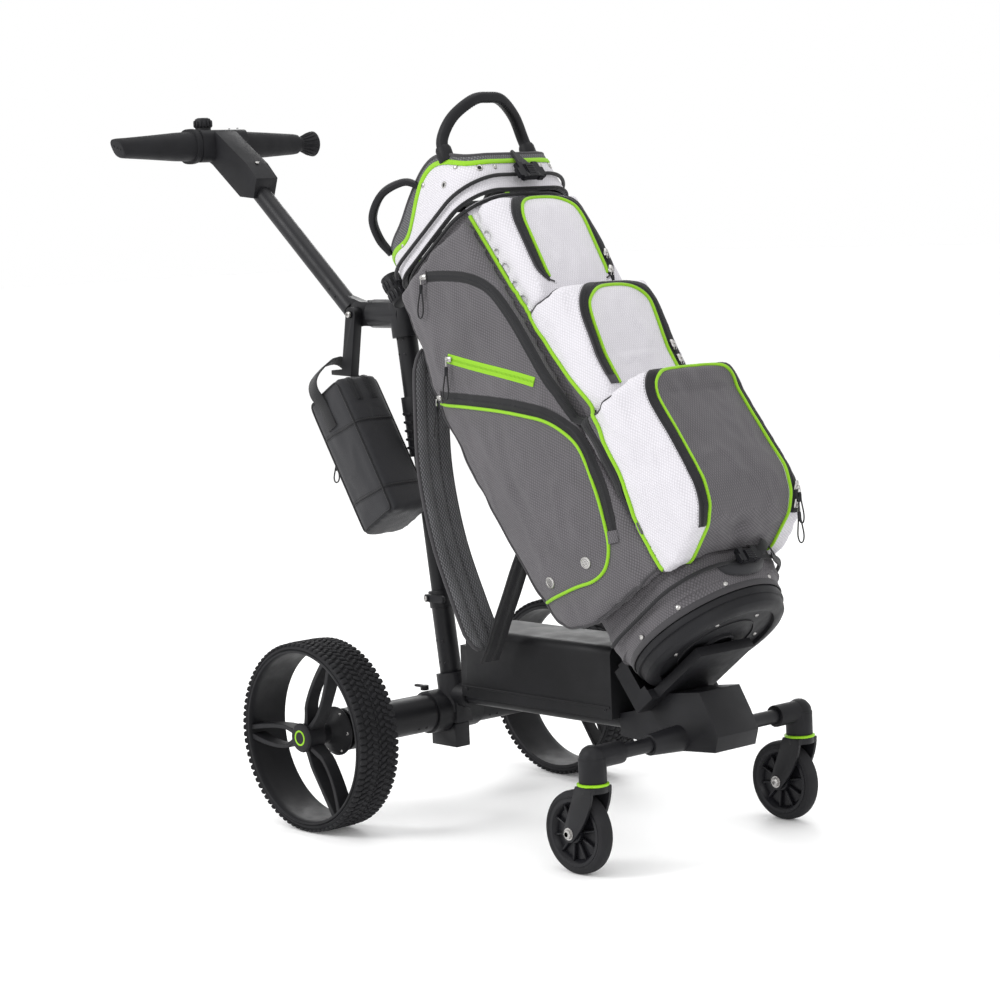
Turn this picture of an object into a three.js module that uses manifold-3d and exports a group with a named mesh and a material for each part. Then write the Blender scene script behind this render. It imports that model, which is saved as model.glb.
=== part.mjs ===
// A cart bag strapped on a remote four-wheel golf trolley. Millimetres, +X forward, +Y left, +Z up.
// The model is laid out from the rear axle and the ground, and is centred on its own box at the end.
import * as THREE from 'three';
import { mergeVertices } from 'three/addons/utils/BufferGeometryUtils.js';
import Module from 'manifold-3d';

const wasm = await Module();
wasm.setup();

// ---------------------------------------------------------------- driving dimensions
const GAP = 0.3; // clearance left between pieces that touch

const WHEEL_RADIUS = 152.5;
const WHEEL_WIDTH = 77;
const WHEEL_PLANE = 274; // wheel centre from the middle of the cart
const TYRE_THICKNESS = 12;
const RIM_WALL = 5;
const HUB_RADIUS = 22;
const SPOKES = 3;

const TUBE_RADIUS = 31; // rear motor tubes
const AXLE_PIN_RADIUS = 6;

const SPINE_RADIUS = 12.5;
const SPINE_HEIGHT = 179.5;

const CASTER_X = 574; // swivel axis
const CASTER_Y = 225;
const CASTER_TRAIL = 33;
const CASTER_RADIUS = 62.5;
const CASTER_WIDTH = 27;
const CROSS_HEIGHT = 176;

const POST_LEAN = THREE.MathUtils.degToRad(7.7);
const POST_FOOT_X = 39.2; // where the post's axis meets the ground
const POST_RADIUS = 17.5;

const PIVOT_X = -171; // handle hinge
const PIVOT_Z = 806;
const SHAFT_RADIUS = 16;
const SHAFT_LOW = new THREE.Vector3(-203, 0, 812.7);
const SHAFT_HIGH = new THREE.Vector3(-512, 0, 1076.6);
const BAR_X = -563;
const BAR_Z = 1101;
const BAR_HALF = 219;

const BAG_X = 613; // centre of the bag's foot
const BAG_Z = 318;
const BAG_LEAN = THREE.MathUtils.degToRad(38);
const BAG_HALF_DEPTH = 120;
const BAG_HALF_WIDTH = 112;
const BAG_CORNER = 75;
const BARREL_BOTTOM = 42;
const BARREL_TOP = 768;
const COLLAR_HALF_DEPTH = 128;
const COLLAR_HALF_WIDTH = 118;
const COLLAR_CORNER = 62;
const COLLAR_TOP = 892;
const BASE_RADIUS = 123;

const SIDES = 24; // facets round a turned part
const WHEEL_SIDES = 36;

// ---------------------------------------------------------------- finishes
const finish = (color, roughness, metalness) => ({ color, roughness, metalness });
const BLACK_METAL = finish(0x242428, 0.45, 0.6);
const BLACK_PLASTIC = finish(0x1c1c1f, 0.6, 0);
const RUBBER = finish(0x19191b, 0.85, 0);
const LIME = finish(0x8fd32a, 0.5, 0);
const GREY_CLOTH = finish(0x77737a, 0.9, 0);
const WHITE_CLOTH = finish(0xe4e1e6, 0.9, 0);
const DARK_CLOTH = finish(0x2c2c30, 0.92, 0);
const MESH_CLOTH = finish(0x5a5a60, 0.95, 0);

// ---------------------------------------------------------------- solids
// Turns a closed geometry into a solid, whichever way its faces were wound.
function toSolid(geometry) {
  const bare = geometry.clone();
  bare.deleteAttribute('normal');
  bare.deleteAttribute('uv');
  const merged = mergeVertices(bare, 1e-4);
  const points = merged.attributes.position.array;
  const index = Uint32Array.from(merged.index.array);
  const corner = (i) => new THREE.Vector3().fromArray(points, 3 * index[i]);
  let volume = 0;
  for (let i = 0; i < index.length; i += 3) {
    volume += corner(i).dot(corner(i + 1).cross(corner(i + 2)));
  }
  if (volume < 0) {
    for (let i = 0; i < index.length; i += 3) {
      [index[i], index[i + 1]] = [index[i + 1], index[i]];
    }
  }
  return new wasm.Manifold(new wasm.Mesh({
    numProp: 3,
    vertProperties: Float32Array.from(points),
    triVerts: index,
  }));
}

function toGeometry(solid) {
  const { vertProperties, triVerts } = solid.getMesh();
  const geometry = new THREE.BufferGeometry();
  geometry.setAttribute('position', new THREE.BufferAttribute(Float32Array.from(vertProperties), 3));
  geometry.setIndex(new THREE.BufferAttribute(Uint32Array.from(triVerts), 1));
  geometry.computeVertexNormals();
  return geometry;
}

function join(...geometries) {
  return toGeometry(geometries.map(toSolid).reduce((sum, solid) => sum.add(solid)));
}

function cut(geometry, ...tools) {
  return toGeometry(tools.map(toSolid).reduce((rest, tool) => rest.subtract(tool), toSolid(geometry)));
}

function common(a, b) {
  return toGeometry(toSolid(a).intersect(toSolid(b)));
}

// ---------------------------------------------------------------- shapes
function block(x0, x1, y0, y1, z0, z1) {
  return new THREE.BoxGeometry(x1 - x0, y1 - y0, z1 - z0)
    .translate((x0 + x1) / 2, (y0 + y1) / 2, (z0 + z1) / 2);
}

// A round bar from one point to another, with an optional second radius at its far end.
function rod(from, to, radius, sides = SIDES, endRadius = radius) {
  const along = new THREE.Vector3().subVectors(to, from);
  const turn = new THREE.Quaternion()
    .setFromUnitVectors(new THREE.Vector3(0, 1, 0), along.clone().normalize());
  return new THREE.CylinderGeometry(endRadius, radius, along.length(), sides)
    .applyQuaternion(turn)
    .translate(...from.clone().addScaledVector(along, 0.5).toArray());
}

const at = (x, y, z) => new THREE.Vector3(x, y, z);

// A rod across the cart, centred on y = 0 unless told otherwise.
function crossRod(x, z, y0, y1, radius, sides = SIDES) {
  return rod(at(x, y0, z), at(x, y1, z), radius, sides);
}

function rodX(x0, x1, y, z, radius, sides = SIDES) {
  return rod(at(x0, y, z), at(x1, y, z), radius, sides);
}

// Turned shape about +Z from [radius, height] pairs.
function turned(profile, sides = SIDES) {
  return new THREE.LatheGeometry(profile.map(([r, h]) => new THREE.Vector2(r, h)), sides)
    .rotateX(Math.PI / 2);
}

// Turned shape about the Y axis, for wheels.
function turnedAcross(profile, sides) {
  return turned(profile, sides).rotateX(-Math.PI / 2);
}

function outline(points) {
  return new THREE.Shape(points.map(([x, y]) => new THREE.Vector2(x, y)));
}

// An outline drawn in X and Z, given a thickness from y0 to y1.
function plateXZ(shape, y0, y1, options = {}) {
  return new THREE.ExtrudeGeometry(shape, { depth: y1 - y0, bevelEnabled: false, ...options })
    .rotateX(Math.PI / 2)
    .translate(0, y1, 0);
}

function roundedRectangle(halfX, halfY, radius) {
  const shape = new THREE.Shape();
  const cx = halfX - radius;
  const cy = halfY - radius;
  shape.absarc(cx, cy, radius, 0, Math.PI / 2, false);
  shape.absarc(-cx, cy, radius, Math.PI / 2, Math.PI, false);
  shape.absarc(-cx, -cy, radius, Math.PI, 1.5 * Math.PI, false);
  shape.absarc(cx, -cy, radius, 1.5 * Math.PI, 2 * Math.PI, false);
  shape.closePath();
  return shape;
}

function column(shape, z0, z1, curveSegments = 7) {
  return new THREE.ExtrudeGeometry(shape, { depth: z1 - z0, bevelEnabled: false, curveSegments })
    .translate(0, 0, z0);
}

// A flat bar or a round cord that follows a smooth curve through hand-picked points.
function alongPath(points, section, steps) {
  const path = new THREE.CatmullRomCurve3(points.map((p) => at(...p)));
  const options = { steps, bevelEnabled: false, extrudePath: path, curveSegments: 3 };
  return new THREE.ExtrudeGeometry(section, options);
}

function disc(radius) {
  const shape = new THREE.Shape();
  shape.absarc(0, 0, radius, 0, 2 * Math.PI, false);
  return shape;
}

function strip(width, thickness) {
  return outline([
    [-width / 2, -thickness / 2], [width / 2, -thickness / 2],
    [width / 2, thickness / 2], [-width / 2, thickness / 2],
  ]);
}

// ---------------------------------------------------------------- the assembly
const cart = new THREE.Group();
const bag = new THREE.Group();
bag.position.set(BAG_X, 0, BAG_Z);
bag.rotation.y = -BAG_LEAN;
cart.add(bag);

function add(group, name, geometry, { color, roughness, metalness }) {
  const material = new THREE.MeshStandardMaterial({ color, roughness, metalness });
  const mesh = new THREE.Mesh(toGeometry(toSolid(geometry)), material);
  mesh.name = name;
  group.add(mesh);
  return mesh;
}

const sideName = (side) => (side < 0 ? 'right' : 'left');

// A point on the post's axis at a given height, and a rod along that axis.
const postAt = (z) => at(POST_FOOT_X - z * Math.tan(POST_LEAN), 0, z);
const postRod = (z0, z1, radius, sides = SIDES) => rod(postAt(z0), postAt(z1), radius, sides);

// ---------------------------------------------------------------- rear wheels
function tyre() {
  const half = WHEEL_WIDTH / 2;
  const inner = WHEEL_RADIUS - TYRE_THICKNESS;
  return turnedAcross([
    [inner, -half + 3], [WHEEL_RADIUS - 9, -half], [WHEEL_RADIUS - 2, -half + 7],
    [WHEEL_RADIUS, -half + 20], [WHEEL_RADIUS, half - 20], [WHEEL_RADIUS - 2, half - 7],
    [WHEEL_RADIUS - 9, half], [inner, half - 3], [inner, -half + 3],
  ], WHEEL_SIDES);
}

// The spokes sweep back as they go out, and stand towards the outer face.
function spokeOutline(rimInner) {
  const shape = new THREE.Shape();
  const foot = (angle) => [(rimInner + 2) * Math.cos(angle), (rimInner + 2) * Math.sin(angle)];
  shape.moveTo(10, -14);
  shape.quadraticCurveTo(70, -18, ...foot(-0.34));
  shape.lineTo(...foot(-0.06));
  shape.quadraticCurveTo(70, 10, 10, 14);
  shape.closePath();
  return shape;
}

function rim(side) {
  const half = WHEEL_WIDTH / 2 - 2;
  const outer = WHEEL_RADIUS - TYRE_THICKNESS - GAP;
  const inner = outer - RIM_WALL;
  const faceY = side * half;
  const barrel = turnedAcross([
    [inner, -half], [outer, -half], [outer, half], [inner, half], [inner, -half],
  ], WHEEL_SIDES);
  const spokeY = [faceY - side * 6, faceY - side * 30].sort((a, b) => a - b);
  const spokes = [];
  for (let i = 0; i < SPOKES; i += 1) {
    spokes.push(plateXZ(spokeOutline(inner), ...spokeY, { curveSegments: 4 })
      .rotateY(Math.PI + (i * 2 * Math.PI) / SPOKES));
  }
  const hub = crossRod(0, 0, faceY - side * 2, -side * (half - 8), HUB_RADIUS);
  const flange = crossRod(0, 0, -side * 4, -side * (half - 10), 40);
  const pin = crossRod(0, 0, -side * (half - 12), -side * (half + 26), AXLE_PIN_RADIUS, 16);
  return join(barrel, ...spokes, hub, flange, pin);
}

for (const side of [-1, 1]) {
  const wheel = new THREE.Group();
  wheel.position.set(0, side * WHEEL_PLANE, WHEEL_RADIUS);
  cart.add(wheel);
  add(wheel, `${sideName(side)}_tyre`, tyre(), RUBBER);
  add(wheel, `${sideName(side)}_rim`, rim(side), BLACK_PLASTIC);
  const capBack = side * (WHEEL_WIDTH / 2 - 4 + GAP);
  const cap = rod(at(0, capBack, 0), at(0, side * (WHEEL_WIDTH / 2 + 2), 0), 23.5, SIDES, 19);
  add(wheel, `${sideName(side)}_hub_cap`, cap, BLACK_PLASTIC);
}

// ---------------------------------------------------------------- rear frame
const CASTING_HALF = 48;
const TUBE_END = 226;

const postBore = postRod(188, 420, POST_RADIUS + 0.5 + GAP);
const spineBore = rodX(34, 200, 0, SPINE_HEIGHT, SPINE_RADIUS + GAP, 24);
const rearCasting = cut(
  join(
    crossRod(0, WHEEL_RADIUS, -CASTING_HALF, CASTING_HALF, 35),
    postRod(150, 214, 25),
    rodX(0, 58, 0, SPINE_HEIGHT, 20),
    block(-12, 40, -17, 17, 134, 180),
  ),
  postBore,
  spineBore,
);
add(cart, 'rear_casting', rearCasting, BLACK_METAL);

for (const side of [-1, 1]) {
  const tube = join(
    crossRod(0, WHEEL_RADIUS, side * (CASTING_HALF + GAP), side * TUBE_END, TUBE_RADIUS),
    crossRod(0, WHEEL_RADIUS, side * (TUBE_END - 16), side * (TUBE_END - 1), TUBE_RADIUS + 3),
  );
  const pinBore = crossRod(0, WHEEL_RADIUS, side * 200, side * (TUBE_END + 5), AXLE_PIN_RADIUS + 0.6, 16);
  add(cart, `${sideName(side)}_motor_tube`, cut(tube, pinBore), BLACK_METAL);
}

// Square socket under the casting, for an anti-tip tail.
const tailSocket = cut(
  block(-28, 34, -15, 15, 92, 132),
  crossRod(0, WHEEL_RADIUS, -30, 30, 35 + GAP),
  block(-40, 20, -8, 8, 95, 109),
);
add(cart, 'anti_tip_socket', tailSocket, BLACK_PLASTIC);

add(cart, 'spine_tube', rodX(36, 470, 0, SPINE_HEIGHT, SPINE_RADIUS, 24), BLACK_METAL);

// Drive release lever on top of the axle casting.
const RELEASE_X = -12;
const RELEASE_Y = 40;
const releaseLever = join(
  rod(at(0, 0, 0), at(0, 0, 8), 7, 16),
  block(-22, 0, -3.5, 3.5, 4, 8),
);
const release = add(cart, 'drive_release_lever', releaseLever, BLACK_PLASTIC);
release.position.set(RELEASE_X, -RELEASE_Y, WHEEL_RADIUS + 35 + GAP);

// ---------------------------------------------------------------- battery case
const CASE = { rear: 118, front: 449, half: 60, bottom: 192 + GAP, top: 304 };
function batteryCase() {
  const section = new THREE.Shape();
  section.moveTo(-CASE.half, CASE.bottom);
  section.lineTo(CASE.half, CASE.bottom);
  section.absarc(CASE.half - 14, CASE.top - 14, 14, 0, Math.PI / 2, false);
  section.absarc(-CASE.half + 14, CASE.top - 14, 14, Math.PI / 2, Math.PI, false);
  section.closePath();
  const options = { depth: CASE.front - CASE.rear, bevelEnabled: false, curveSegments: 5 };
  const shell = new THREE.ExtrudeGeometry(section, options)
    .rotateX(Math.PI / 2)
    .rotateZ(Math.PI / 2)
    .translate(CASE.rear, 0, 0);
  const rearCap = block(102, CASE.rear + 1, -CASE.half + 2, CASE.half - 2, CASE.bottom + 1, CASE.top - 28);
  return join(shell, rearCap);
}
add(cart, 'battery_case', batteryCase(), BLACK_METAL);

// ---------------------------------------------------------------- front frame
const wedge = plateXZ(outline([
  [450, 166], [450, 200], [500, 212], [540, 240], [619, 250], [641, 214], [655, 186], [648, 162], [560, 156],
]), -44, 44);
const armLeft = rod(at(CASTER_X, 30, CROSS_HEIGHT), at(CASTER_X, 108, CROSS_HEIGHT), 21, 24, 16);
const armRight = rod(at(CASTER_X, -30, CROSS_HEIGHT), at(CASTER_X, -108, CROSS_HEIGHT), 21, 24, 16);

// The cradle under the bag's foot, drawn in the bag's own frame: shelf, back wall and two ears.
const CRADLE = { rear: -142, wall: -125, front: 14, half: 58, low: -24, shelf: -8.4, high: 60 };
function cradleBlocks(grow) {
  return join(
    block(CRADLE.rear - grow, CRADLE.front + grow, -CRADLE.half - grow, CRADLE.half + grow,
      CRADLE.low - grow, CRADLE.shelf),
    block(CRADLE.rear - grow, CRADLE.wall, -CRADLE.half - grow, CRADLE.half + grow,
      CRADLE.low - grow, CRADLE.high),
    block(CRADLE.rear - grow, -100, CRADLE.half - 1, CRADLE.half + 14 + grow, CRADLE.low - grow, 50),
    block(CRADLE.rear - grow, -100, -CRADLE.half - 14 - grow, -CRADLE.half + 1, CRADLE.low - grow, 50),
  );
}
const bagPlace = new THREE.Matrix4()
  .makeRotationY(-BAG_LEAN)
  .setPosition(BAG_X, 0, BAG_Z);
const crossBore = crossRod(CASTER_X, CROSS_HEIGHT, -200, 200, 11 + GAP, 20);
const noseBore = rodX(400, 471, 0, SPINE_HEIGHT, SPINE_RADIUS + GAP, 24);
const frontCasting = cut(
  join(wedge, armLeft, armRight),
  crossBore,
  noseBore,
  cradleBlocks(GAP).applyMatrix4(bagPlace),
);
add(cart, 'front_casting', frontCasting, BLACK_METAL);
add(cart, 'front_cross_tube', crossRod(CASTER_X, CROSS_HEIGHT, -204, 204, 11, 20), BLACK_METAL);

const barrelOutline = roundedRectangle(BAG_HALF_DEPTH + GAP, BAG_HALF_WIDTH + GAP, BAG_CORNER);
const barrelClear = column(barrelOutline, 0, BARREL_TOP);
const footClear = column(disc(BASE_RADIUS + 1.5), -8, BARREL_BOTTOM, 24);
add(bag, 'lower_cradle', cut(cradleBlocks(0), footClear, barrelClear), BLACK_PLASTIC);

// ---------------------------------------------------------------- casters
function elbow() {
  const body = join(
    rod(at(0, -56, 0), at(0, 0, 0), 17, 20),
    new THREE.SphereGeometry(20, 16, 8),
    rod(at(0, 0, -36), at(0, 0, 0), 21, 20),
  );
  const tubeBore = rod(at(0, -60, 0), at(0, -20.5, 0), 11 + GAP, 20);
  const stemBore = rod(at(0, 0, -40), at(0, 0, -12), 6.5, 16);
  return cut(body, tubeBore, stemBore);
}

function fork() {
  const legShape = new THREE.Shape();
  legShape.moveTo(-17, -42);
  legShape.lineTo(17, -42);
  legShape.quadraticCurveTo(16, -80, -CASTER_TRAIL + 13, -118);
  legShape.absarc(-CASTER_TRAIL, CASTER_RADIUS - CROSS_HEIGHT, 13, -0.4, Math.PI, true);
  legShape.quadraticCurveTo(-28, -72, -17, -42);
  const crown = rod(at(0, 0, -50), at(0, 0, -40.6), 22, 24);
  const stem = rod(at(0, 0, -45), at(0, 0, -14), 6, 16);
  const leg = (side) => plateXZ(legShape, side * 19 - 2.5, side * 19 + 2.5, { curveSegments: 6 });
  const legs = [leg(-1), leg(1)];
  const bridge = block(-17, 17, -21, 21, -50, -40.6);
  const bolt = crossRod(-CASTER_TRAIL, CASTER_RADIUS - CROSS_HEIGHT, -27, 27, 4, 12);
  return join(crown, stem, ...legs, bridge, bolt);
}

function casterHub() {
  const bore = 4 + GAP + 0.1;
  const profile = [
    [bore, -13], [15, -13], [16, -3], [43, -3], [44, -12], [51, -12],
    [51, 12], [44, 12], [43, 3], [16, 3], [15, 13], [bore, 13], [bore, -13],
  ];
  return turnedAcross(profile, SIDES);
}

function casterTyre() {
  const half = CASTER_WIDTH / 2;
  return turnedAcross([
    [51 + GAP, -half + 2], [58, -half], [CASTER_RADIUS, -half + 8],
    [CASTER_RADIUS, half - 8], [58, half], [51 + GAP, half - 2], [51 + GAP, -half + 2],
  ], SIDES);
}

for (const side of [-1, 1]) {
  const caster = new THREE.Group();
  caster.position.set(CASTER_X, side * CASTER_Y, CROSS_HEIGHT);
  cart.add(caster);
  const name = sideName(side);
  add(caster, `${name}_caster_elbow`, side > 0 ? elbow() : elbow().rotateZ(Math.PI), BLACK_PLASTIC);
  const ring = turned([[6.6, -40.3], [24, -40.3], [24, -36.3], [6.6, -36.3], [6.6, -40.3]]);
  add(caster, `${name}_swivel_ring`, ring, LIME);
  add(caster, `${name}_caster_fork`, fork(), BLACK_METAL);
  const roller = new THREE.Group();
  roller.position.set(-CASTER_TRAIL, 0, CASTER_RADIUS - CROSS_HEIGHT);
  caster.add(roller);
  add(roller, `${name}_caster_hub`, casterHub(), BLACK_PLASTIC);
  add(roller, `${name}_caster_tyre`, casterTyre(), RUBBER);
}

// ---------------------------------------------------------------- post and hinge
const LATCH_Z = 340;
const lowerPost = cut(
  join(postRod(190, 348, POST_RADIUS + 0.5), postRod(322, 350, POST_RADIUS + 3)),
  postRod(250, 360, 14.5 + GAP),
);
add(cart, 'lower_post', lowerPost, BLACK_METAL);
const upperPost = join(postRod(252, 620, 14.5), postRod(600, 790, POST_RADIUS));
add(cart, 'upper_post', upperPost, BLACK_METAL);

// Latch lever of the telescoping post: a short cam lever on the right of the collar.
const latchLever = join(
  rod(at(0, -12, 0), at(0, 0, 0), 6, 16),
  block(-6, 34, -10, -4, -6, 6),
  rod(at(34, -10, 0), at(34, -4, 0), 6, 16),
);
const latch = add(cart, 'post_latch_lever', latchLever, BLACK_PLASTIC);
latch.position.set(postAt(LATCH_Z).x, -POST_RADIUS - 3 - GAP - 0.3, LATCH_Z);

const CHEEK = { inner: 9.4, outer: 15, radius: 22 };
const KNUCKLE_HALF = 9;
const cheeks = [[-CHEEK.outer, -CHEEK.inner], [CHEEK.inner, CHEEK.outer]].map(([y0, y1]) => join(
  crossRod(PIVOT_X, PIVOT_Z, y0, y1, CHEEK.radius, 16),
  block(PIVOT_X, -135, y0, y1, PIVOT_Z - 20, PIVOT_Z + 20),
));
const postHead = cut(
  join(
    rodX(-144, -62, 0, PIVOT_Z, 24, 20),
    postRod(768, 826, 24, 20),
    ...cheeks,
    crossRod(PIVOT_X, PIVOT_Z, -36, 20, 5, 16),
  ),
  postRod(700, 790 + GAP, POST_RADIUS + GAP + 0.3, 20),
);
add(cart, 'post_head', postHead, BLACK_METAL);

// Square bar that hangs from the hinge bolt and ends in a tongue for a carry loop.
const HANGER = { near: -32.3, far: -15.4 };
const hangerShape = new THREE.Shape();
hangerShape.absarc(PIVOT_X, PIVOT_Z, 12.5, -0.1, Math.PI, false);
hangerShape.lineTo(-200, 714);
hangerShape.lineTo(-228, 712);
hangerShape.lineTo(-228, 704);
hangerShape.lineTo(-176, 702);
hangerShape.closePath();
const hanger = cut(
  plateXZ(hangerShape, HANGER.near, HANGER.far, { curveSegments: 10 }),
  crossRod(PIVOT_X, PIVOT_Z, -40, -10, 5.5, 16),
);
add(cart, 'bag_hanger', hanger, BLACK_METAL);

// Clip on the post that steadies the accessory bag.
const postClip = cut(
  join(postRod(640, 670, 23, 24), postRod(572, 645, 21, 24)),
  postRod(560, 680, POST_RADIUS + GAP),
  block(-120, 20, 2, 40, 500, 636),
);
add(cart, 'post_clip', postClip, BLACK_PLASTIC);

// ---------------------------------------------------------------- handle
const shaftAxis = new THREE.Vector3().subVectors(SHAFT_HIGH, SHAFT_LOW).normalize();
const knuckle = join(
  crossRod(PIVOT_X, PIVOT_Z, -KNUCKLE_HALF, KNUCKLE_HALF, 20),
  plateXZ(
    outline([[-171, 826], [-214, 838], [-230, 820], [-206, 796], [-171, 786]]),
    -KNUCKLE_HALF,
    KNUCKLE_HALF,
  ),
  rod(SHAFT_LOW, SHAFT_HIGH, SHAFT_RADIUS),
);
add(cart, 'handle_shaft', cut(knuckle, crossRod(PIVOT_X, PIVOT_Z, -20, 20, 5.5, 16)), BLACK_METAL);

const neck = plateXZ(outline([
  [-560, 1076], [-534, 1126], [-446, 1066], [-420, 1040], [-432, 1006], [-470, 1010], [-545, 1068],
]), -23, 23);
const clampSection = roundedRectangle(30, 28, 12);
const clampBlock = plateXZ(clampSection, -49, 49, { curveSegments: 4 }).translate(BAR_X, 0, BAR_Z);
const shaftBore = rod(
  SHAFT_LOW.clone().addScaledVector(shaftAxis, 200),
  SHAFT_HIGH.clone().addScaledVector(shaftAxis, GAP),
  SHAFT_RADIUS + GAP,
);
const dialSeat = rod(at(BAR_X - 6, -22, 1100), at(BAR_X - 6, -22, 1133), 14, 20);
add(cart, 'handlebar_clamp', cut(join(neck, clampBlock, dialSeat), shaftBore), BLACK_PLASTIC);

for (const side of [-1, 1]) {
  const near = at(BAR_X, side * (49 + GAP), BAR_Z);
  const pieces = [];
  if (side < 0) {
    pieces.push(rod(near, at(BAR_X, -BAR_HALF, BAR_Z), 27, 24, 18));
    pieces.push(crossRod(BAR_X, BAR_Z, -49 - GAP, -60, 31, 24));
  } else {
    pieces.push(rod(near, at(BAR_X, 178, BAR_Z), 26, 24, 20));
    pieces.push(rod(at(BAR_X, 170, BAR_Z), at(BAR_X, BAR_HALF, BAR_Z), 13, 24, 23));
  }
  add(cart, `${sideName(side)}_grip`, join(...pieces), BLACK_PLASTIC);
}

const dial = turned([[0, 0], [15, 0], [17, 3], [17, 15], [14, 18], [0, 18]], 20);
const dialMesh = add(cart, 'speed_dial', dial, BLACK_PLASTIC);
dialMesh.position.set(BAR_X - 6, -22, 1133 + GAP);

// ---------------------------------------------------------------- upper cradle, in the bag's frame
const KNOB = { f: -152, y: 76, low: 768, high: 818, radius: 17 };
const knob = (y) => rod(at(KNOB.f, y, KNOB.low), at(KNOB.f, y, KNOB.high), KNOB.radius, 20);
const saddle = join(
  block(-156, -136, -KNOB.y, KNOB.y, 776, 800),
  knob(-KNOB.y),
  knob(KNOB.y),
  block(-205, -150, -14, 14, 770, 798),
);
const headClear = join(
  rodX(-144, -60, 0, PIVOT_Z, 24 + GAP),
  postRod(740, 826 + GAP, 24 + GAP),
).applyMatrix4(bagPlace.clone().invert());
add(bag, 'upper_cradle', cut(saddle, headClear), BLACK_PLASTIC);

// ---------------------------------------------------------------- bag body, in the bag's frame
const tube = (halfDepth, halfWidth, corner, wall, z0, z1) => {
  const shape = roundedRectangle(halfDepth, halfWidth, corner);
  shape.holes.push(new THREE.Path(
    roundedRectangle(halfDepth - wall, halfWidth - wall, corner - wall).getPoints(7).reverse(),
  ));
  return column(shape, z0, z1);
};

add(bag, 'bag_base', turned([
  [0, -8], [100, -8], [114, -6], [BASE_RADIUS, 2], [BASE_RADIUS, 38], [118, BARREL_BOTTOM - GAP],
  [0, BARREL_BOTTOM - GAP],
], 40), BLACK_PLASTIC);

const barrel = tube(BAG_HALF_DEPTH, BAG_HALF_WIDTH, BAG_CORNER, 4, BARREL_BOTTOM, BARREL_TOP);
add(bag, 'bag_barrel', barrel, GREY_CLOTH);

// The collar flares forward and draws in at the sides as it rises.
function flare(geometry) {
  const position = geometry.attributes.position;
  for (let i = 0; i < position.count; i += 1) {
    const rise = (position.getZ(i) - BARREL_TOP) / 100;
    position.setX(i, position.getX(i) * (1 + 0.09 * rise) + 5 * rise);
    position.setY(i, position.getY(i) * (1 - 0.2 * rise));
  }
  return geometry;
}

// The rim line of the collar seen from the side: low at the back, highest at the hips, low in front.
const rimLine = new THREE.SplineCurve([
  [-170, 830], [-120, 834], [-60, 846], [-15, 868], [30, 884],
  [65, 883], [95, 866], [125, 838], [150, 826], [180, 824],
].map(([f, s]) => new THREE.Vector2(f, s))).getPoints(16);

function rimCutter(offset, endHeight) {
  const line = rimLine.map((p) => [p.x, p.y + offset]);
  return plateXZ(outline([...line, [180, endHeight], [-170, endHeight]]), -200, 200);
}

const collarBlank = flare(
  tube(COLLAR_HALF_DEPTH, COLLAR_HALF_WIDTH, COLLAR_CORNER, 6, BARREL_TOP + GAP, COLLAR_TOP),
);
add(bag, 'bag_collar', cut(collarBlank, rimCutter(0, 960)), WHITE_CLOTH);

// Divider grid set down inside the collar: three rows of two wells.
const DIVIDER = { low: 800, high: 812, rows: 3, rowPitch: 76, wellDepth: 62, wellWidth: 74, wellOffset: 43 };
const dividerPlug = flare(column(
  roundedRectangle(COLLAR_HALF_DEPTH - 6.5, COLLAR_HALF_WIDTH - 6.5, COLLAR_CORNER - 6),
  DIVIDER.low,
  DIVIDER.high,
));
const wells = [];
for (let row = 0; row < DIVIDER.rows; row += 1) {
  const f = 3 + (row - (DIVIDER.rows - 1) / 2) * DIVIDER.rowPitch;
  for (const side of [-1, 1]) {
    wells.push(column(roundedRectangle(DIVIDER.wellDepth / 2, DIVIDER.wellWidth / 2, 12), 780, 830, 1)
      .translate(f, side * DIVIDER.wellOffset, 0));
  }
}
add(bag, 'top_divider', cut(dividerPlug, ...wells), BLACK_PLASTIC);

const frontHandle = alongPath([
  [92, -89, 862], [100, -86, 892], [124, -66, 918], [148, -30, 933], [152, 0, 935],
  [148, 30, 933], [124, 66, 918], [100, 86, 892], [92, 89, 862],
], disc(9.5), 22);
add(bag, 'front_handle', cut(frontHandle, rimCutter(GAP, 700)), BLACK_PLASTIC);

for (const side of [-1, 1]) {
  const loop = alongPath([
    [14, side * 90, 872], [2, side * 104, 890], [-35, side * 120, 898], [-78, side * 120, 886],
    [-104, side * 104, 862], [-108, side * 92, 832],
  ], disc(8), 14);
  const collarClear = flare(column(
    roundedRectangle(COLLAR_HALF_DEPTH + GAP, COLLAR_HALF_WIDTH + GAP, COLLAR_CORNER), BARREL_TOP, 840));
  add(bag, `${sideName(side)}_side_handle`, cut(loop, rimCutter(GAP, 700), collarClear), BLACK_PLASTIC);
}

// ---------------------------------------------------------------- pockets, in the bag's frame
const FRONT_PLANE = 84.4; // front pockets start here, side pockets stop just behind it

// A pocket bounded by its outline from the side and by a curved plan that runs out to both gussets.
function frontPocket(points, gussetHalf, faceHalf, faceDepth) {
  const slab = plateXZ(outline(points), -140, 140);
  const plan = new THREE.Shape();
  plan.moveTo(FRONT_PLANE, -gussetHalf);
  plan.bezierCurveTo(faceDepth, -gussetHalf, faceDepth, -faceHalf, faceDepth, 0);
  plan.bezierCurveTo(faceDepth, faceHalf, faceDepth, gussetHalf, FRONT_PLANE, gussetHalf);
  plan.closePath();
  return cut(common(slab, column(plan, 60, 780, 6)), barrelClear);
}

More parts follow.
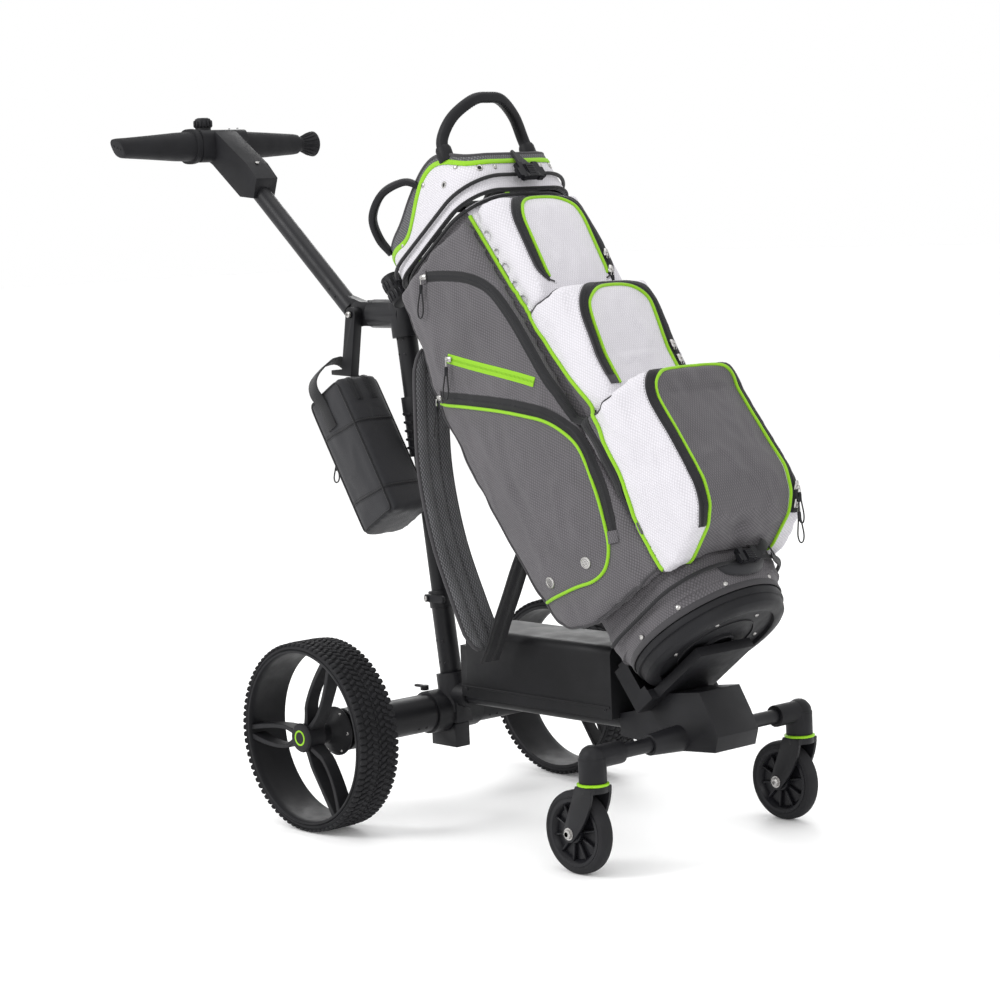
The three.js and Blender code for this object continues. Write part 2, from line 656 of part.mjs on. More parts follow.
add(bag, 'upper_pocket', frontPocket(
  [[60, 556.3], [126, 556.3], [137, 640], [148, 716], [142, 742], [120, 752], [60, 752]],
  100, 60, 152,
), WHITE_CLOTH);
add(bag, 'middle_pocket', frontPocket(
  [[60, 350.3], [150, 350.3], [154, 430], [166, 480], [180, 530], [174, 548], [150, 556], [60, 556]],
  104, 74, 186,
), WHITE_CLOTH);
add(bag, 'ball_pocket', frontPocket(
  [[60, 84], [118, 84], [178, 104], [202, 126], [215, 160], [216, 310], [233, 340], [222, 350], [60, 350]],
  122, 92, 238,
), GREY_CLOTH);

const sideShape = new THREE.Shape();
sideShape.moveTo(FRONT_PLANE - GAP, 744);
sideShape.lineTo(-92, 738);
sideShape.splineThru([
  [-108, 640], [-146, 540], [-170, 440], [-170, 300], [-164, 200], [-136, 140], [-70, 102],
].map(([f, s]) => new THREE.Vector2(f, s)));
sideShape.lineTo(FRONT_PLANE - GAP, 90);
sideShape.closePath();

// Plan of a side pouch on the left of the bag; the right one is its mirror image.
const POUCH = { inner: 60, outer: 146, rear: -172, edge: 122 };
for (const side of [-1, 1]) {
  const plan = new THREE.Shape();
  plan.moveTo(FRONT_PLANE - GAP, side * POUCH.inner);
  plan.lineTo(FRONT_PLANE - GAP, side * POUCH.edge);
  plan.bezierCurveTo(20, side * POUCH.outer, -60, side * POUCH.outer, -110, side * (POUCH.outer - 4));
  plan.quadraticCurveTo(-165, side * POUCH.edge, POUCH.rear, side * 84);
  plan.lineTo(POUCH.rear + 20, side * POUCH.inner);
  plan.closePath();
  const slab = plateXZ(sideShape, -160, 160, { curveSegments: 12 });
  const pouch = common(slab, column(plan, 60, 780, 6));
  add(bag, `${sideName(side)}_side_pocket`, cut(pouch, barrelClear), GREY_CLOTH);
}

// ---------------------------------------------------------------- straps and cords
const STRAP_Y = -98;
const strapPath = [
  [110, 757], [106, 730], [103, 677], [105, 565], [131, 454], [176, 354], [212, 286],
].map(([x, z]) => [x, STRAP_Y, z]);
add(cart, 'shoulder_strap', alongPath(strapPath, strip(68, 12), 22), MESH_CLOTH);
const webPath = [
  [216, 266], [232, 292], [252, 334], [274, 376], [294, 416],
].map(([x, z]) => [x, STRAP_Y, z]);
add(cart, 'strap_webbing', alongPath(webPath, strip(38, 3), 8), DARK_CLOTH);

// A cord that goes round the front of the bag from one side of the back to the other.
function girdle(halfDepth, halfWidth, corner, radius, heightAt, backStop) {
  const round = roundedRectangle(halfDepth, halfWidth, corner).getSpacedPoints(60)
    .filter((p) => p.x > backStop)
    .map((p) => ({ p, turn: Math.atan2(p.y, p.x) }))
    .sort((a, b) => a.turn - b.turn)
    .filter((_, i) => i % 2 === 0)
    .map(({ p }) => [p.x, p.y, heightAt(p)]);
  return alongPath(round, disc(radius), 30);
}
add(bag, 'upper_cord', girdle(138, 119, COLLAR_CORNER + 8, 3, () => 790, -120), DARK_CLOTH);
add(bag, 'upper_cord_low', girdle(126, 118, BAG_CORNER + 5, 2.5, () => 760, -112), DARK_CLOTH);
add(bag, 'base_cord', girdle(130, 122, BAG_CORNER + 9, 3, () => 62, -80), DARK_CLOTH);
add(bag, 'collar_buckle', block(143, 158, -26, 26, 762, 806), BLACK_PLASTIC);
add(bag, 'base_buckle', block(135, 150, -22, 22, 46, 78), BLACK_PLASTIC);

// ---------------------------------------------------------------- accessory bag
const tote = new THREE.Group();
const TOTE = { x: -94, y: -66, z: 577, thick: 96, deep: 88, tall: 248, tilt: THREE.MathUtils.degToRad(-32) };
tote.position.set(TOTE.x, TOTE.y, TOTE.z);
tote.rotation.y = TOTE.tilt;
cart.add(tote);
const toteOutline = roundedRectangle(TOTE.thick / 2, TOTE.deep / 2, 14);
const toteBody = column(toteOutline, -TOTE.tall / 2, TOTE.tall / 2, 4);
add(tote, 'accessory_bag', toteBody, DARK_CLOTH);
const loopEdge = TOTE.deep / 2 + 2;
const totePath = [
  [-6, -loopEdge, 58], [-6, -loopEdge, 100], [-12, -loopEdge - 1, 132], [-24, -24, 162], [-29, 16, 188],
  [-30, 33, 194], [-30, 50, 194], [-27, 58, 176], [-12, loopEdge + 6, 134], [-6, loopEdge + 1, 84],
];
add(tote, 'accessory_bag_loop', alongPath(totePath, strip(2.6, 24), 24), DARK_CLOTH);

// ---------------------------------------------------------------- stand the cart on its own origin
const extent = new THREE.Box3().setFromObject(cart, true);
const middle = extent.getCenter(new THREE.Vector3());
cart.position.set(-middle.x, -middle.y, -extent.min.z);

export default cart;
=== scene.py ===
# %% [markdown]
# # A golf bag on a four-wheel trolley
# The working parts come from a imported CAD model: it gives the size, the place and the joints of
# everything. This lesson gives those parts their real surfaces. Hard parts get fine edges and
# satin coatings, cloth parts are puffed up with a cloth simulation, and the sewing, zips, cords
# and rivets are laid on top. All lengths are in metres.

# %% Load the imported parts
import math
import bmesh
import bpy
import numpy as np
from mathutils import Matrix, Vector, noise
from mathutils.bvhtree import BVHTree
from mathutils.kdtree import KDTree


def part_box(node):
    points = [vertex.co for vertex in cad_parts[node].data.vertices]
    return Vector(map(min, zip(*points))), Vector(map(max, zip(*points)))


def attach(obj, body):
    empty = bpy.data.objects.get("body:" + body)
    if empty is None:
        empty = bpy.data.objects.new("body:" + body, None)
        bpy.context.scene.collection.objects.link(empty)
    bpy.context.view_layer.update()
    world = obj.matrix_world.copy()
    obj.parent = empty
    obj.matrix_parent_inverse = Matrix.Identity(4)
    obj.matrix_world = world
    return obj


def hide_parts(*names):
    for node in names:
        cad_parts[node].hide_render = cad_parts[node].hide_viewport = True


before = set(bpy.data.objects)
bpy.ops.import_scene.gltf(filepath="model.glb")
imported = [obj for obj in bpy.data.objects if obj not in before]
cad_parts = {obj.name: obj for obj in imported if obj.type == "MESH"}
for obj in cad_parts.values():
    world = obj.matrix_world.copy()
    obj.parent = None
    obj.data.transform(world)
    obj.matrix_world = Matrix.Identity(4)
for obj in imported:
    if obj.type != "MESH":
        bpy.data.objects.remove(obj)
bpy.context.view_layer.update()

# %% [markdown]
# ## Where things are
# Two places are used again and again. The rear axle line gives the length axis its zero, and the
# bag has axes of its own, because it leans: f points out of the front pockets, s runs up along the
# bag from its foot, and y goes to its left. Giving points in the bag's axes keeps the numbers easy.

# %% Axle line and bag axes
tyre_low, tyre_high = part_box("left_tyre")
AXLE_X = (tyre_low.x + tyre_high.x) / 2
LEAN = math.radians(38)
BAG_FOOT = Vector((AXLE_X + 0.613, 0, 0.318))
F_AXIS = Vector((math.cos(LEAN), 0, math.sin(LEAN)))
S_AXIS = Vector((-math.sin(LEAN), 0, math.cos(LEAN)))


def on_cart(x, y, z):
    """A point given in millimetres from the rear axle line and the ground."""
    return Vector((AXLE_X + x / 1000, y / 1000, z / 1000))


def on_bag(f, y, s):
    """A point given in millimetres in the bag's own axes."""
    return BAG_FOOT + F_AXIS * (f / 1000) + S_AXIS * (s / 1000) + Vector((0, y / 1000, 0))


print("axle line at x =", round(AXLE_X, 4))

# %% [markdown]
# ## Camera, floor and light
# A long lens from a low height shows the cart without strong perspective. A camera is placed by
# giving the directions of its own right, up and back axes, which also allows a slight roll. The
# floor and the backdrop are one pale plane, and three big soft lamps give the even light of a
# product studio.

# %% Camera
azimuth, elevation, roll = math.radians(47.92), math.radians(6.19), math.radians(-2.35)
flat_right = Vector((math.cos(azimuth), math.sin(azimuth), 0))
back = Vector((math.sin(azimuth) * math.cos(elevation), -math.cos(azimuth) * math.cos(elevation),
               math.sin(elevation)))
flat_up = back.cross(flat_right)
right = flat_right * math.cos(roll) + flat_up * math.sin(roll)
up = flat_up * math.cos(roll) - flat_right * math.sin(roll)
lens = bpy.data.cameras.new("studio_camera")
lens.lens = 100.76
lens.sensor_width = 36
lens.clip_end = 60
camera = bpy.data.objects.new("studio_camera", lens)
bpy.context.scene.collection.objects.link(camera)
turn = Matrix((right, up, back)).transposed().to_4x4()
camera.matrix_world = Matrix.Translation(on_cart(148.23, 0, 507.77) + back * 4.49495) @ turn
bpy.context.scene.camera = camera
print("camera at", [round(v, 3) for v in camera.matrix_world.translation])


# %% Floor and lamps
def lamp(name, place, aim, size, watts):
    light = bpy.data.lights.new(name, "AREA")
    light.shape = "DISK"
    light.size = size
    light.energy = watts
    holder = bpy.data.objects.new(name, light)
    bpy.context.scene.collection.objects.link(holder)
    look = (Vector(aim) - Vector(place)).to_track_quat("-Z", "Y")
    holder.matrix_world = Matrix.Translation(place) @ look.to_matrix().to_4x4()


lamp("key_lamp", (-1.2, -3.4, 3.0), (0, 0, 0.5), 2.0, 85)
lamp("fill_lamp", (3.6, -2.2, 2.4), (0, 0, 0.5), 2.6, 28)
lamp("top_lamp", (0.2, 0.6, 4.2), (0, 0, 0.5), 3.0, 34)
lamp("rim_lamp", (-2.6, 2.8, 2.2), (0, 0, 0.6), 1.6, 26)
world = bpy.data.worlds.new("studio")
world.use_nodes = True
world.node_tree.nodes["Background"].inputs["Color"].default_value = (1, 1, 1, 1)
world.node_tree.nodes["Background"].inputs["Strength"].default_value = 1.0
bpy.context.scene.world = world
bpy.context.scene.view_settings.view_transform = "Standard"

floor_mesh = bpy.data.meshes.new("floor")
floor_mesh.from_pydata([(-30, -30, 0), (30, -30, 0), (30, 30, 0), (-30, 30, 0)], [], [(0, 1, 2, 3)])
floor = bpy.data.objects.new("floor", floor_mesh)
bpy.context.scene.collection.objects.link(floor)

# %% [markdown]
# ## Finishes
# Every finish is a small node tree round the Principled shader. Three ideas cover them all. A fine
# noise bump keeps mouldings and coatings from looking like glass. A broad noise varies roughness
# and colour as dust and handling do. Cloth has a weave made by crossing two sine waves in the
# cloth's own UV map, whose unit is a metre, so the threads keep their real pitch on every panel.


# %% A node tree in one call
class Finish:
    """A material with its shader, and short ways to add and join nodes."""

    def __init__(self, name, color, roughness, metallic=0.0):
        self.material = bpy.data.materials.new(name)
        self.material.use_nodes = True
        self.tree = self.material.node_tree
        self.shader = self.tree.nodes["Principled BSDF"]
        self.color = (*color, 1)
        self.shader.inputs["Base Color"].default_value = self.color
        self.shader.inputs["Roughness"].default_value = roughness
        self.shader.inputs["Metallic"].default_value = metallic

    def node(self, kind, **inputs):
        made = self.tree.nodes.new(kind)
        for key, value in inputs.items():
            socket = made.inputs[key.replace("_", " ")]
            if isinstance(value, bpy.types.NodeSocket):
                self.tree.links.new(value, socket)
            else:
                socket.default_value = value
        return made

    def math(self, operation, a, b=0.0):
        made = self.tree.nodes.new("ShaderNodeMath")
        made.operation = operation
        for socket, value in zip(made.inputs, (a, b)):
            if isinstance(value, bpy.types.NodeSocket):
                self.tree.links.new(value, socket)
            else:
                socket.default_value = value
        return made.outputs[0]

    def place(self):
        return self.node("ShaderNodeTexCoord").outputs["Object"]

    def noise(self, scale, detail=3.0, roughness=0.5):
        return self.node("ShaderNodeTexNoise", Vector=self.place(), Scale=scale, Detail=detail,
                         Roughness=roughness).outputs["Fac"]

    def spread(self, fac, low, high, from_low=0.35, from_high=0.65):
        made = self.node("ShaderNodeMapRange", Value=fac)
        for key, value in zip(("From Min", "From Max", "To Min", "To Max"), (from_low, from_high, low, high)):
            made.inputs[key].default_value = value
        return made.outputs["Result"]

    def tint(self, fac, dark, light):
        ramp = self.node("ShaderNodeMix")
        ramp.data_type = "RGBA"
        self.tree.links.new(fac, ramp.inputs[0])
        ramp.inputs[6].default_value = (*dark, 1)
        ramp.inputs[7].default_value = (*light, 1)
        self.tree.links.new(ramp.outputs[2], self.shader.inputs["Base Color"])
        return ramp.outputs[2]

    def rough(self, socket):
        self.tree.links.new(socket, self.shader.inputs["Roughness"])

    def bump(self, height, depth, strength=1.0):
        made = self.node("ShaderNodeBump", Height=height, Distance=depth, Strength=strength)
        self.tree.links.new(made.outputs["Normal"], self.shader.inputs["Normal"])


def shade(color, factor):
    return tuple(min(1.0, c * factor) for c in color)


# %% Hard finishes: coated metal, moulded plastic, rubber and bright steel
def coated_metal(name, color, roughness=0.42):
    """Fine powder coat: a tight orange-peel bump and slightly uneven gloss."""
    made = Finish(name, color, roughness)
    made.shader.inputs["Specular IOR Level"].default_value = 0.24
    broad = made.noise(9, 4)
    made.tint(made.spread(broad, 0, 1), shade(color, 0.8), shade(color, 1.35))
    made.rough(made.spread(made.noise(30, 5), roughness - 0.04, roughness + 0.06))
    made.bump(made.noise(1400, 2), 0.00012, 0.5)
    return made.material


def moulded(name, color, roughness=0.5, grain=900, depth=0.00018):
    """Injection moulding with a spark-eroded grain."""
    made = Finish(name, color, roughness)
    made.shader.inputs["Specular IOR Level"].default_value = 0.2
    made.tint(made.spread(made.noise(14, 4), 0, 1), shade(color, 0.88), shade(color, 1.2))
    made.rough(made.spread(made.noise(45, 4), roughness - 0.04, roughness + 0.06))
    made.bump(made.noise(grain, 2), depth, 0.6)
    return made.material


def bright_steel(name, color=(0.44, 0.43, 0.42), roughness=0.27):
    made = Finish(name, color, roughness, 1.0)
    made.rough(made.spread(made.noise(220, 4), roughness - 0.06, roughness + 0.14))
    made.bump(made.noise(900, 2), 0.00005, 0.4)
    return made.material


SATIN_BLACK = coated_metal("satin_black_coat", (0.009, 0.009, 0.0105))
CASE_BLACK = coated_metal("battery_case_coat", (0.006, 0.006, 0.007), 0.52)
MOULDED_BLACK = moulded("black_moulding", (0.009, 0.009, 0.0105))
GRIP_BLACK = moulded("soft_grip", (0.011, 0.011, 0.0125), 0.62, 1500, 0.0002)
TYRE_BLACK = moulded("tyre_rubber", (0.014, 0.014, 0.0155), 0.72, 700, 0.0003)
GLOSS_BLACK = moulded("caster_moulding", (0.009, 0.009, 0.011), 0.3, 500, 0.00008)
LIME_COIL = moulded("lime_zip_coil", (0.09, 0.22, 0.004), 0.45)
LIME_PLASTIC = moulded("lime_moulding", (0.24, 0.50, 0.015), 0.4)
STEEL = bright_steel("bright_steel")
print("hard finishes made")


# %% Cloth finishes: weave, mesh, webbing and cord
def woven(name, color, pitch=0.0034, depth=0.0005, rough=0.75, groove_shade=0.78, sheen=0.25):
    """Coated twill with a raised diamond weave, read from the UV map in metres. Its colour holds painted shade in the
    weave's grooves and painted light on its raised knots, with a random mottle over it.
    """
    made = Finish(name, color, rough)
    uv = made.node("ShaderNodeUVMap")
    uv.uv_map = "cloth"
    parts = made.node("ShaderNodeSeparateXYZ", Vector=uv.outputs["UV"])
    turn_rate = math.pi / pitch
    rise = made.math("ADD", parts.outputs["X"], made.math("MULTIPLY", parts.outputs["Y"], 0.6))
    fall = made.math("SUBTRACT", parts.outputs["X"], made.math("MULTIPLY", parts.outputs["Y"], 0.6))
    warp = made.math("ABSOLUTE", made.math("SINE", made.math("MULTIPLY", rise, turn_rate)))
    weft = made.math("ABSOLUTE", made.math("SINE", made.math("MULTIPLY", fall, turn_rate)))
    knots = made.math("MULTIPLY", warp, weft)
    # Painted shade and light: darker where the weave's bump is low, lighter on its knots, with a random mottle of tone
    # mixed in.
    weave_shade_and_mottle = made.math("ADD", made.math("MULTIPLY", knots, 0.75), made.math("MULTIPLY", made.noise(18, 5), 0.35))
    made.tint(weave_shade_and_mottle, shade(color, groove_shade), shade(color, 1.12))
    made.bump(knots, depth, 0.8)
    made.shader.inputs["Specular IOR Level"].default_value = 0.3
    made.shader.inputs["Sheen Weight"].default_value = sheen
    made.shader.inputs["Sheen Roughness"].default_value = 0.5
    return made.material


# The weave of each cloth below carries painted shade in its grooves and painted light on its knots.
GREY_CLOTH = woven("grey_twill", (0.118, 0.111, 0.12), 0.0044, 0.0006, groove_shade=0.40, sheen=0.1)
WHITE_CLOTH = woven("white_twill", (0.58, 0.565, 0.60), 0.0044, depth=0.0005, groove_shade=0.80, rough=0.68)
LIME_CLOTH = woven("lime_binding", (0.235, 0.50, 0.008), 0.0016, 0.0002, 0.6, 0.8, 0.1)
BLACK_TAPE = woven("black_zip_tape", (0.009, 0.009, 0.0105), 0.0012, 0.00018, 0.7, 0.6, 0.1)
DARK_NYLON = woven("black_nylon", (0.014, 0.014, 0.017), 0.0022, 0.0002, 0.6, 0.7, 0.15)
GREY_BINDING = woven("grey_binding", (0.05, 0.048, 0.052), 0.0014, 0.0002, 0.8, 0.6, 0.1)
MESH_CLOTH = woven("spacer_mesh", (0.16, 0.16, 0.168), 0.0046, 0.0012, 0.9, 0.10, 0.1)
CORD_BLACK = woven("braided_cord", (0.012, 0.012, 0.014), 0.0016, 0.0003, 0.65, 0.5, 0.1)
THREAD = woven("sewing_thread", (0.16, 0.155, 0.165), 0.001, 0.0001, 0.8, 0.7)
print("cloth finishes made")

floor_finish = Finish("pale_floor", (0.93, 0.93, 0.93), 0.6)
floor_finish.shader.inputs["Emission Color"].default_value = (1, 1, 1, 1)
floor_finish.shader.inputs["Emission Strength"].default_value = 0.08
floor_finish.tint(floor_finish.spread(floor_finish.noise(0.6, 2), 0, 1), (0.92, 0.92, 0.92), (0.95, 0.95, 0.95))
floor.data.materials.append(floor_finish.material)

# %% [markdown]
# ## Ways to make a piece
# Four helpers make nearly every mesh here. `piece` links a finished mesh, sets what it rides on and which finish it
# wears, and hides the CAD part it replaces. `refined` copies a CAD part, welds its loose triangles, rounds its edges
# and smooths its shading, which suits castings and tubes.
# `lathe` turns a profile, and `sweep` carries a cross-section along a path.


# %% Linking a piece
ROOT = "frame"


def piece(name, mesh, material, body=ROOT, replaces=()):
    """Links a mesh as a named piece with one finish, riding on a body."""
    made = bpy.data.objects.new(name, mesh)
    bpy.context.scene.collection.objects.link(made)
    if material is not None:
        mesh.materials.clear()
        mesh.materials.append(material)
    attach(made, body)
    if replaces:
        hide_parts(*replaces)
    return made


def smooth(mesh, degrees=40):
    """Smooth shading that keeps edges sharper than the angle."""
    mesh.polygons.foreach_set("use_smooth", [True] * len(mesh.polygons))
    work = bmesh.new()
    work.from_mesh(mesh)
    limit = math.radians(degrees)
    for edge in work.edges:
        edge.smooth = len(edge.link_faces) == 2 and edge.calc_face_angle(0) < limit
    work.to_mesh(mesh)
    work.free()
    return mesh


def closed_mesh(name, verts, faces, degrees=40):
    """A mesh from points and faces, welded, with its faces turned outwards."""
    mesh = bpy.data.meshes.new(name)
    mesh.from_pydata([tuple(v) for v in verts], [], faces)
    work = bmesh.new()
    work.from_mesh(mesh)
    bmesh.ops.remove_doubles(work, verts=work.verts, dist=1e-6)
    bmesh.ops.recalc_face_normals(work, faces=work.faces)
    work.to_mesh(mesh)
    work.free()
    return smooth(mesh, degrees)


def join_meshes(name, meshes, degrees=40):
    """Several closed shells in one mesh."""
    verts, faces = [], []
    for mesh in meshes:
        start = len(verts)
        verts += [v.co.copy() for v in mesh.vertices]
        faces += [[start + i for i in p.vertices] for p in mesh.polygons]
    joined = bpy.data.meshes.new(name)
    joined.from_pydata([tuple(v) for v in verts], [], faces)
    return smooth(joined, degrees)


# %% Modifiers, applied at once
def with_modifiers(mesh, *settings):
    """Runs modifiers on a mesh and gives back the result as a plain mesh."""
    holder = bpy.data.objects.new("bench", mesh)
    bpy.context.scene.collection.objects.link(holder)
    for kind, values in settings:
        modifier = holder.modifiers.new(kind.lower(), kind)
        for key, value in values.items():
            setattr(modifier, key, value)
    ready = holder.evaluated_get(bpy.context.evaluated_depsgraph_get())
    result = bpy.data.meshes.new_from_object(ready)
    bpy.data.objects.remove(holder)
    return result


def welded_copy(node):
    """A CAD part's shape with its triangles welded and flat areas dissolved."""
    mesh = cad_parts[node].data.copy()
    mesh.materials.clear()
    work = bmesh.new()
    work.from_mesh(mesh)
    bmesh.ops.remove_doubles(work, verts=work.verts, dist=2e-5)
    bmesh.ops.dissolve_limit(work, angle_limit=math.radians(1), verts=work.verts, edges=work.edges)
    work.to_mesh(mesh)
    work.free()
    return mesh


def refined(node, material, edge=0.0012, degrees=32, body=ROOT):
    """A CAD part with rounded edges and smooth shading in its place."""
    mesh = with_modifiers(welded_copy(node), ("BEVEL", {
        "width": edge, "segments": 2, "limit_method": "ANGLE", "angle_limit": math.radians(degrees),
        "use_clamp_overlap": True, "harden_normals": False,
    }))
    return piece(node + "_finished", smooth(mesh, 38), material, body, [node])


# %% Turning and sweeping
def frame_axes(direction):
    """Two axes across a direction."""
    direction = direction.normalized()
    side = Vector((0, 0, 1)) if abs(direction.z) < 0.9 else Vector((1, 0, 0))
    first = direction.cross(side).normalized()
    return first, direction.cross(first).normalized()


def lathe(name, profile, start, direction, steps=64, degrees=40):
    """Turns (radius, height) pairs round an axis; a profile closes on the axis or on itself."""
    direction = Vector(direction).normalized()
    first, second = frame_axes(direction)
    verts, faces = [], []
    for r, h in profile:
        for i in range(steps):
            a = 2 * math.pi * i / steps
            verts.append(Vector(start) + direction * h + (first * math.cos(a) + second * math.sin(a)) * r)
    for j in range(len(profile) - 1):
        for i in range(steps):
            k = (i + 1) % steps
            ring = [j * steps + i, j * steps + k, (j + 1) * steps + k, (j + 1) * steps + i]
            faces.append(ring)
    mesh = bpy.data.meshes.new(name)
    mesh.from_pydata([tuple(v) for v in verts], [], faces)
    work = bmesh.new()
    work.from_mesh(mesh)
    bmesh.ops.remove_doubles(work, verts=work.verts, dist=1e-6)
    bmesh.ops.dissolve_degenerate(work, dist=1e-7, edges=work.edges)
    bmesh.ops.recalc_face_normals(work, faces=work.faces)
    work.to_mesh(mesh)
    work.free()
    return smooth(mesh, degrees)


def curve_through(points, step=0.006, closed=False):
    """A smooth Catmull-Rom curve through points, sampled about every step."""
    points = [Vector(p) for p in points]
    count = len(points)
    out = []
    for i in range(count if closed else count - 1):
        if closed:
            p0, p1, p2, p3 = (points[(i + k - 1) % count] for k in range(4))
        else:
            p1, p2 = points[i], points[i + 1]
            p0 = points[i - 1] if i else p1 * 2 - p2
            p3 = points[i + 2] if i + 2 < count else p2 * 2 - p1
        parts = max(1, round((p2 - p1).length / step))
        for j in range(parts):
            t = j / parts
            out.append(0.5 * (2 * p1 + (p2 - p0) * t + (2 * p0 - 5 * p1 + 4 * p2 - p3) * t * t
                              + (3 * p1 - 3 * p2 + p3 - p0) * t ** 3))
    if not closed:
        out.append(points[-1])
    return out


def round_section(radius, sides=12):
    return [(radius * math.cos(2 * math.pi * i / sides), radius * math.sin(2 * math.pi * i / sides))
            for i in range(sides)]


def flat_section(width, thickness, ease=0.3):
    """A strip lying on a surface: wide across, thin outwards, with eased edges."""
    w, t, e = width / 2, thickness, thickness * ease
    return [(-w, 0), (w, 0), (w, t - e), (w - e, t), (-w + e, t), (-w, t - e)]


def sweep(name, path, section, normals=None, closed=False, scale=None, degrees=50):
    """Carries (across, out) pairs along a path; normals say which way is out. UVs are in metres."""
    count, sides = len(path), len(section)
    tangents = [(path[(i + 1) % count] - path[i - 1]) if closed or 0 < i < count - 1
                else (path[1] - path[0] if i == 0 else path[-1] - path[-2]) for i in range(count)]
    if normals is None:
        normals = [frame_axes(tangents[0])[0]]
        for i in range(1, count):
            normals.append(normals[-1] - tangents[i].normalized() * normals[-1].dot(tangents[i].normalized()))
    run, lengths, verts = 0.0, [], []
    for i, point in enumerate(path):
        run += (point - path[i - 1]).length if i else 0
        lengths.append(run)
        along = tangents[i].normalized()
        out = (normals[i] - along * normals[i].dot(along)).normalized()
        across = along.cross(out)
        size = scale[i] if scale else 1
        verts += [point + across * (a * size) + out * (b * size) for a, b in section]
    faces = []
    for i in range(count if closed else count - 1):
        n = (i + 1) % count
        for j in range(sides):
            k = (j + 1) % sides
            faces.append([i * sides + j, i * sides + k, n * sides + k, n * sides + j])
    if not closed:
        faces += [list(range(sides))[::-1], [(count - 1) * sides + j for j in range(sides)]]
    mesh = bpy.data.meshes.new(name)
    mesh.from_pydata([tuple(v) for v in verts], [], faces)
    around = np.cumsum([0] + [math.dist(section[j], section[(j + 1) % sides]) for j in range(sides)])
    layer = mesh.uv_layers.new(name="cloth")
    for polygon in mesh.polygons:
        for loop in polygon.loop_indices:
            vertex = mesh.loops[loop].vertex_index
            ring, j = divmod(vertex, sides)
            u = around[j]
            v = lengths[ring]
            if polygon.index < (count if closed else count - 1) * sides:
                if polygon.index % sides == sides - 1 and j == 0:
                    u = around[sides]
                if closed and polygon.index >= (count - 1) * sides and ring == 0:
                    v = run + (path[0] - path[-1]).length
            layer.data[loop].uv = (u, v)
    work = bmesh.new()
    work.from_mesh(mesh)
    bmesh.ops.recalc_face_normals(work, faces=work.faces)
    work.to_mesh(mesh)
    work.free()
    return smooth(mesh, degrees)


print("makers ready")

# %% [markdown]
# ## Repeats with Geometry Nodes
# Tread blocks, zip teeth, stitches, ribs, rivets and screws are the same small shape many times.
# One node tree does them all: it takes points that carry two directions, puts a small shape on
# each point, turns it to those directions, scales it, then makes the copies real.


# %% The tree that puts a shape on every point
def repeat_tree():
    tree = bpy.data.node_groups.new("shape_on_points", "GeometryNodeTree")
    sockets = tree.interface
    sockets.new_socket("Geometry", in_out="INPUT", socket_type="NodeSocketGeometry")
    sockets.new_socket("Shape", in_out="INPUT", socket_type="NodeSocketObject")
    sockets.new_socket("Size", in_out="INPUT", socket_type="NodeSocketVector")
    sockets.new_socket("Finish", in_out="INPUT", socket_type="NodeSocketMaterial")
    sockets.new_socket("Geometry", in_out="OUTPUT", socket_type="NodeSocketGeometry")
    new, link = tree.nodes.new, tree.links.new
    entry, leave = new("NodeGroupInput"), new("NodeGroupOutput")
    shape = new("GeometryNodeObjectInfo")
    link(entry.outputs["Shape"], shape.inputs["Object"])
    turned = new("FunctionNodeAxesToRotation")
    turned.primary_axis = "Z"
    turned.secondary_axis = "X"
    for name, socket in (("out", "Primary Axis"), ("along", "Secondary Axis")):
        held = new("GeometryNodeInputNamedAttribute")
        held.data_type = "FLOAT_VECTOR"
        held.inputs["Name"].default_value = name
        link(held.outputs["Attribute"], turned.inputs[socket])
    put = new("GeometryNodeInstanceOnPoints")
    link(entry.outputs["Geometry"], put.inputs["Points"])
    link(shape.outputs["Geometry"], put.inputs["Instance"])
    link(turned.outputs["Rotation"], put.inputs["Rotation"])
    link(entry.outputs["Size"], put.inputs["Scale"])
    real = new("GeometryNodeRealizeInstances")
    link(put.outputs["Instances"], real.inputs["Geometry"])
    paint = new("GeometryNodeSetMaterial")
    link(real.outputs["Geometry"], paint.inputs["Geometry"])
    link(entry.outputs["Finish"], paint.inputs["Material"])
    link(paint.outputs["Geometry"], leave.inputs["Geometry"])
    return tree


REPEAT = repeat_tree()
INPUT_ID = {item.name: item.identifier for item in REPEAT.interface.items_tree
            if item.item_type == "SOCKET" and item.in_out == "INPUT"}


def repeat(name, points, out, along, shape, size, material, body=ROOT):
    """Puts a small mesh on every point. It gives one plain mesh that rides on one body."""
    seeds = bpy.data.meshes.new(name)
    seeds.from_pydata([tuple(p) for p in points], [], [])
    for label, values in (("out", out), ("along", along)):
        held = seeds.attributes.new(label, "FLOAT_VECTOR", "POINT")
        held.data.foreach_set("vector", [c for v in values for c in v])
    template = bpy.data.objects.new("template", shape)
    holder = bpy.data.objects.new("bench", seeds)
    for o in (template, holder):
        bpy.context.scene.collection.objects.link(o)
    modifier = holder.modifiers.new("repeat", "NODES")
    modifier.node_group = REPEAT
    modifier[INPUT_ID["Shape"]] = template
    modifier[INPUT_ID["Size"]] = tuple(size)
    modifier[INPUT_ID["Finish"]] = material
    ready = holder.evaluated_get(bpy.context.evaluated_depsgraph_get())
    mesh = bpy.data.meshes.new_from_object(ready)
    bpy.data.objects.remove(holder)
    bpy.data.objects.remove(template)
    for label in ("out", "along"):
        if label in mesh.attributes:
            mesh.attributes.remove(mesh.attributes[label])
    return piece(name, mesh, material, body)


# %% The small shapes that get repeated
def pill(bevel=0.22):
    """A unit block with eased edges, standing on its own base: X along, Z out."""
    work = bmesh.new()
    bmesh.ops.create_cube(work, size=1)
    bmesh.ops.bevel(work, geom=list(work.edges), offset=bevel, segments=1, affect="EDGES")
    mesh = bpy.data.meshes.new("pill")
    work.to_mesh(mesh)
    work.free()
    return smooth(mesh, 60)


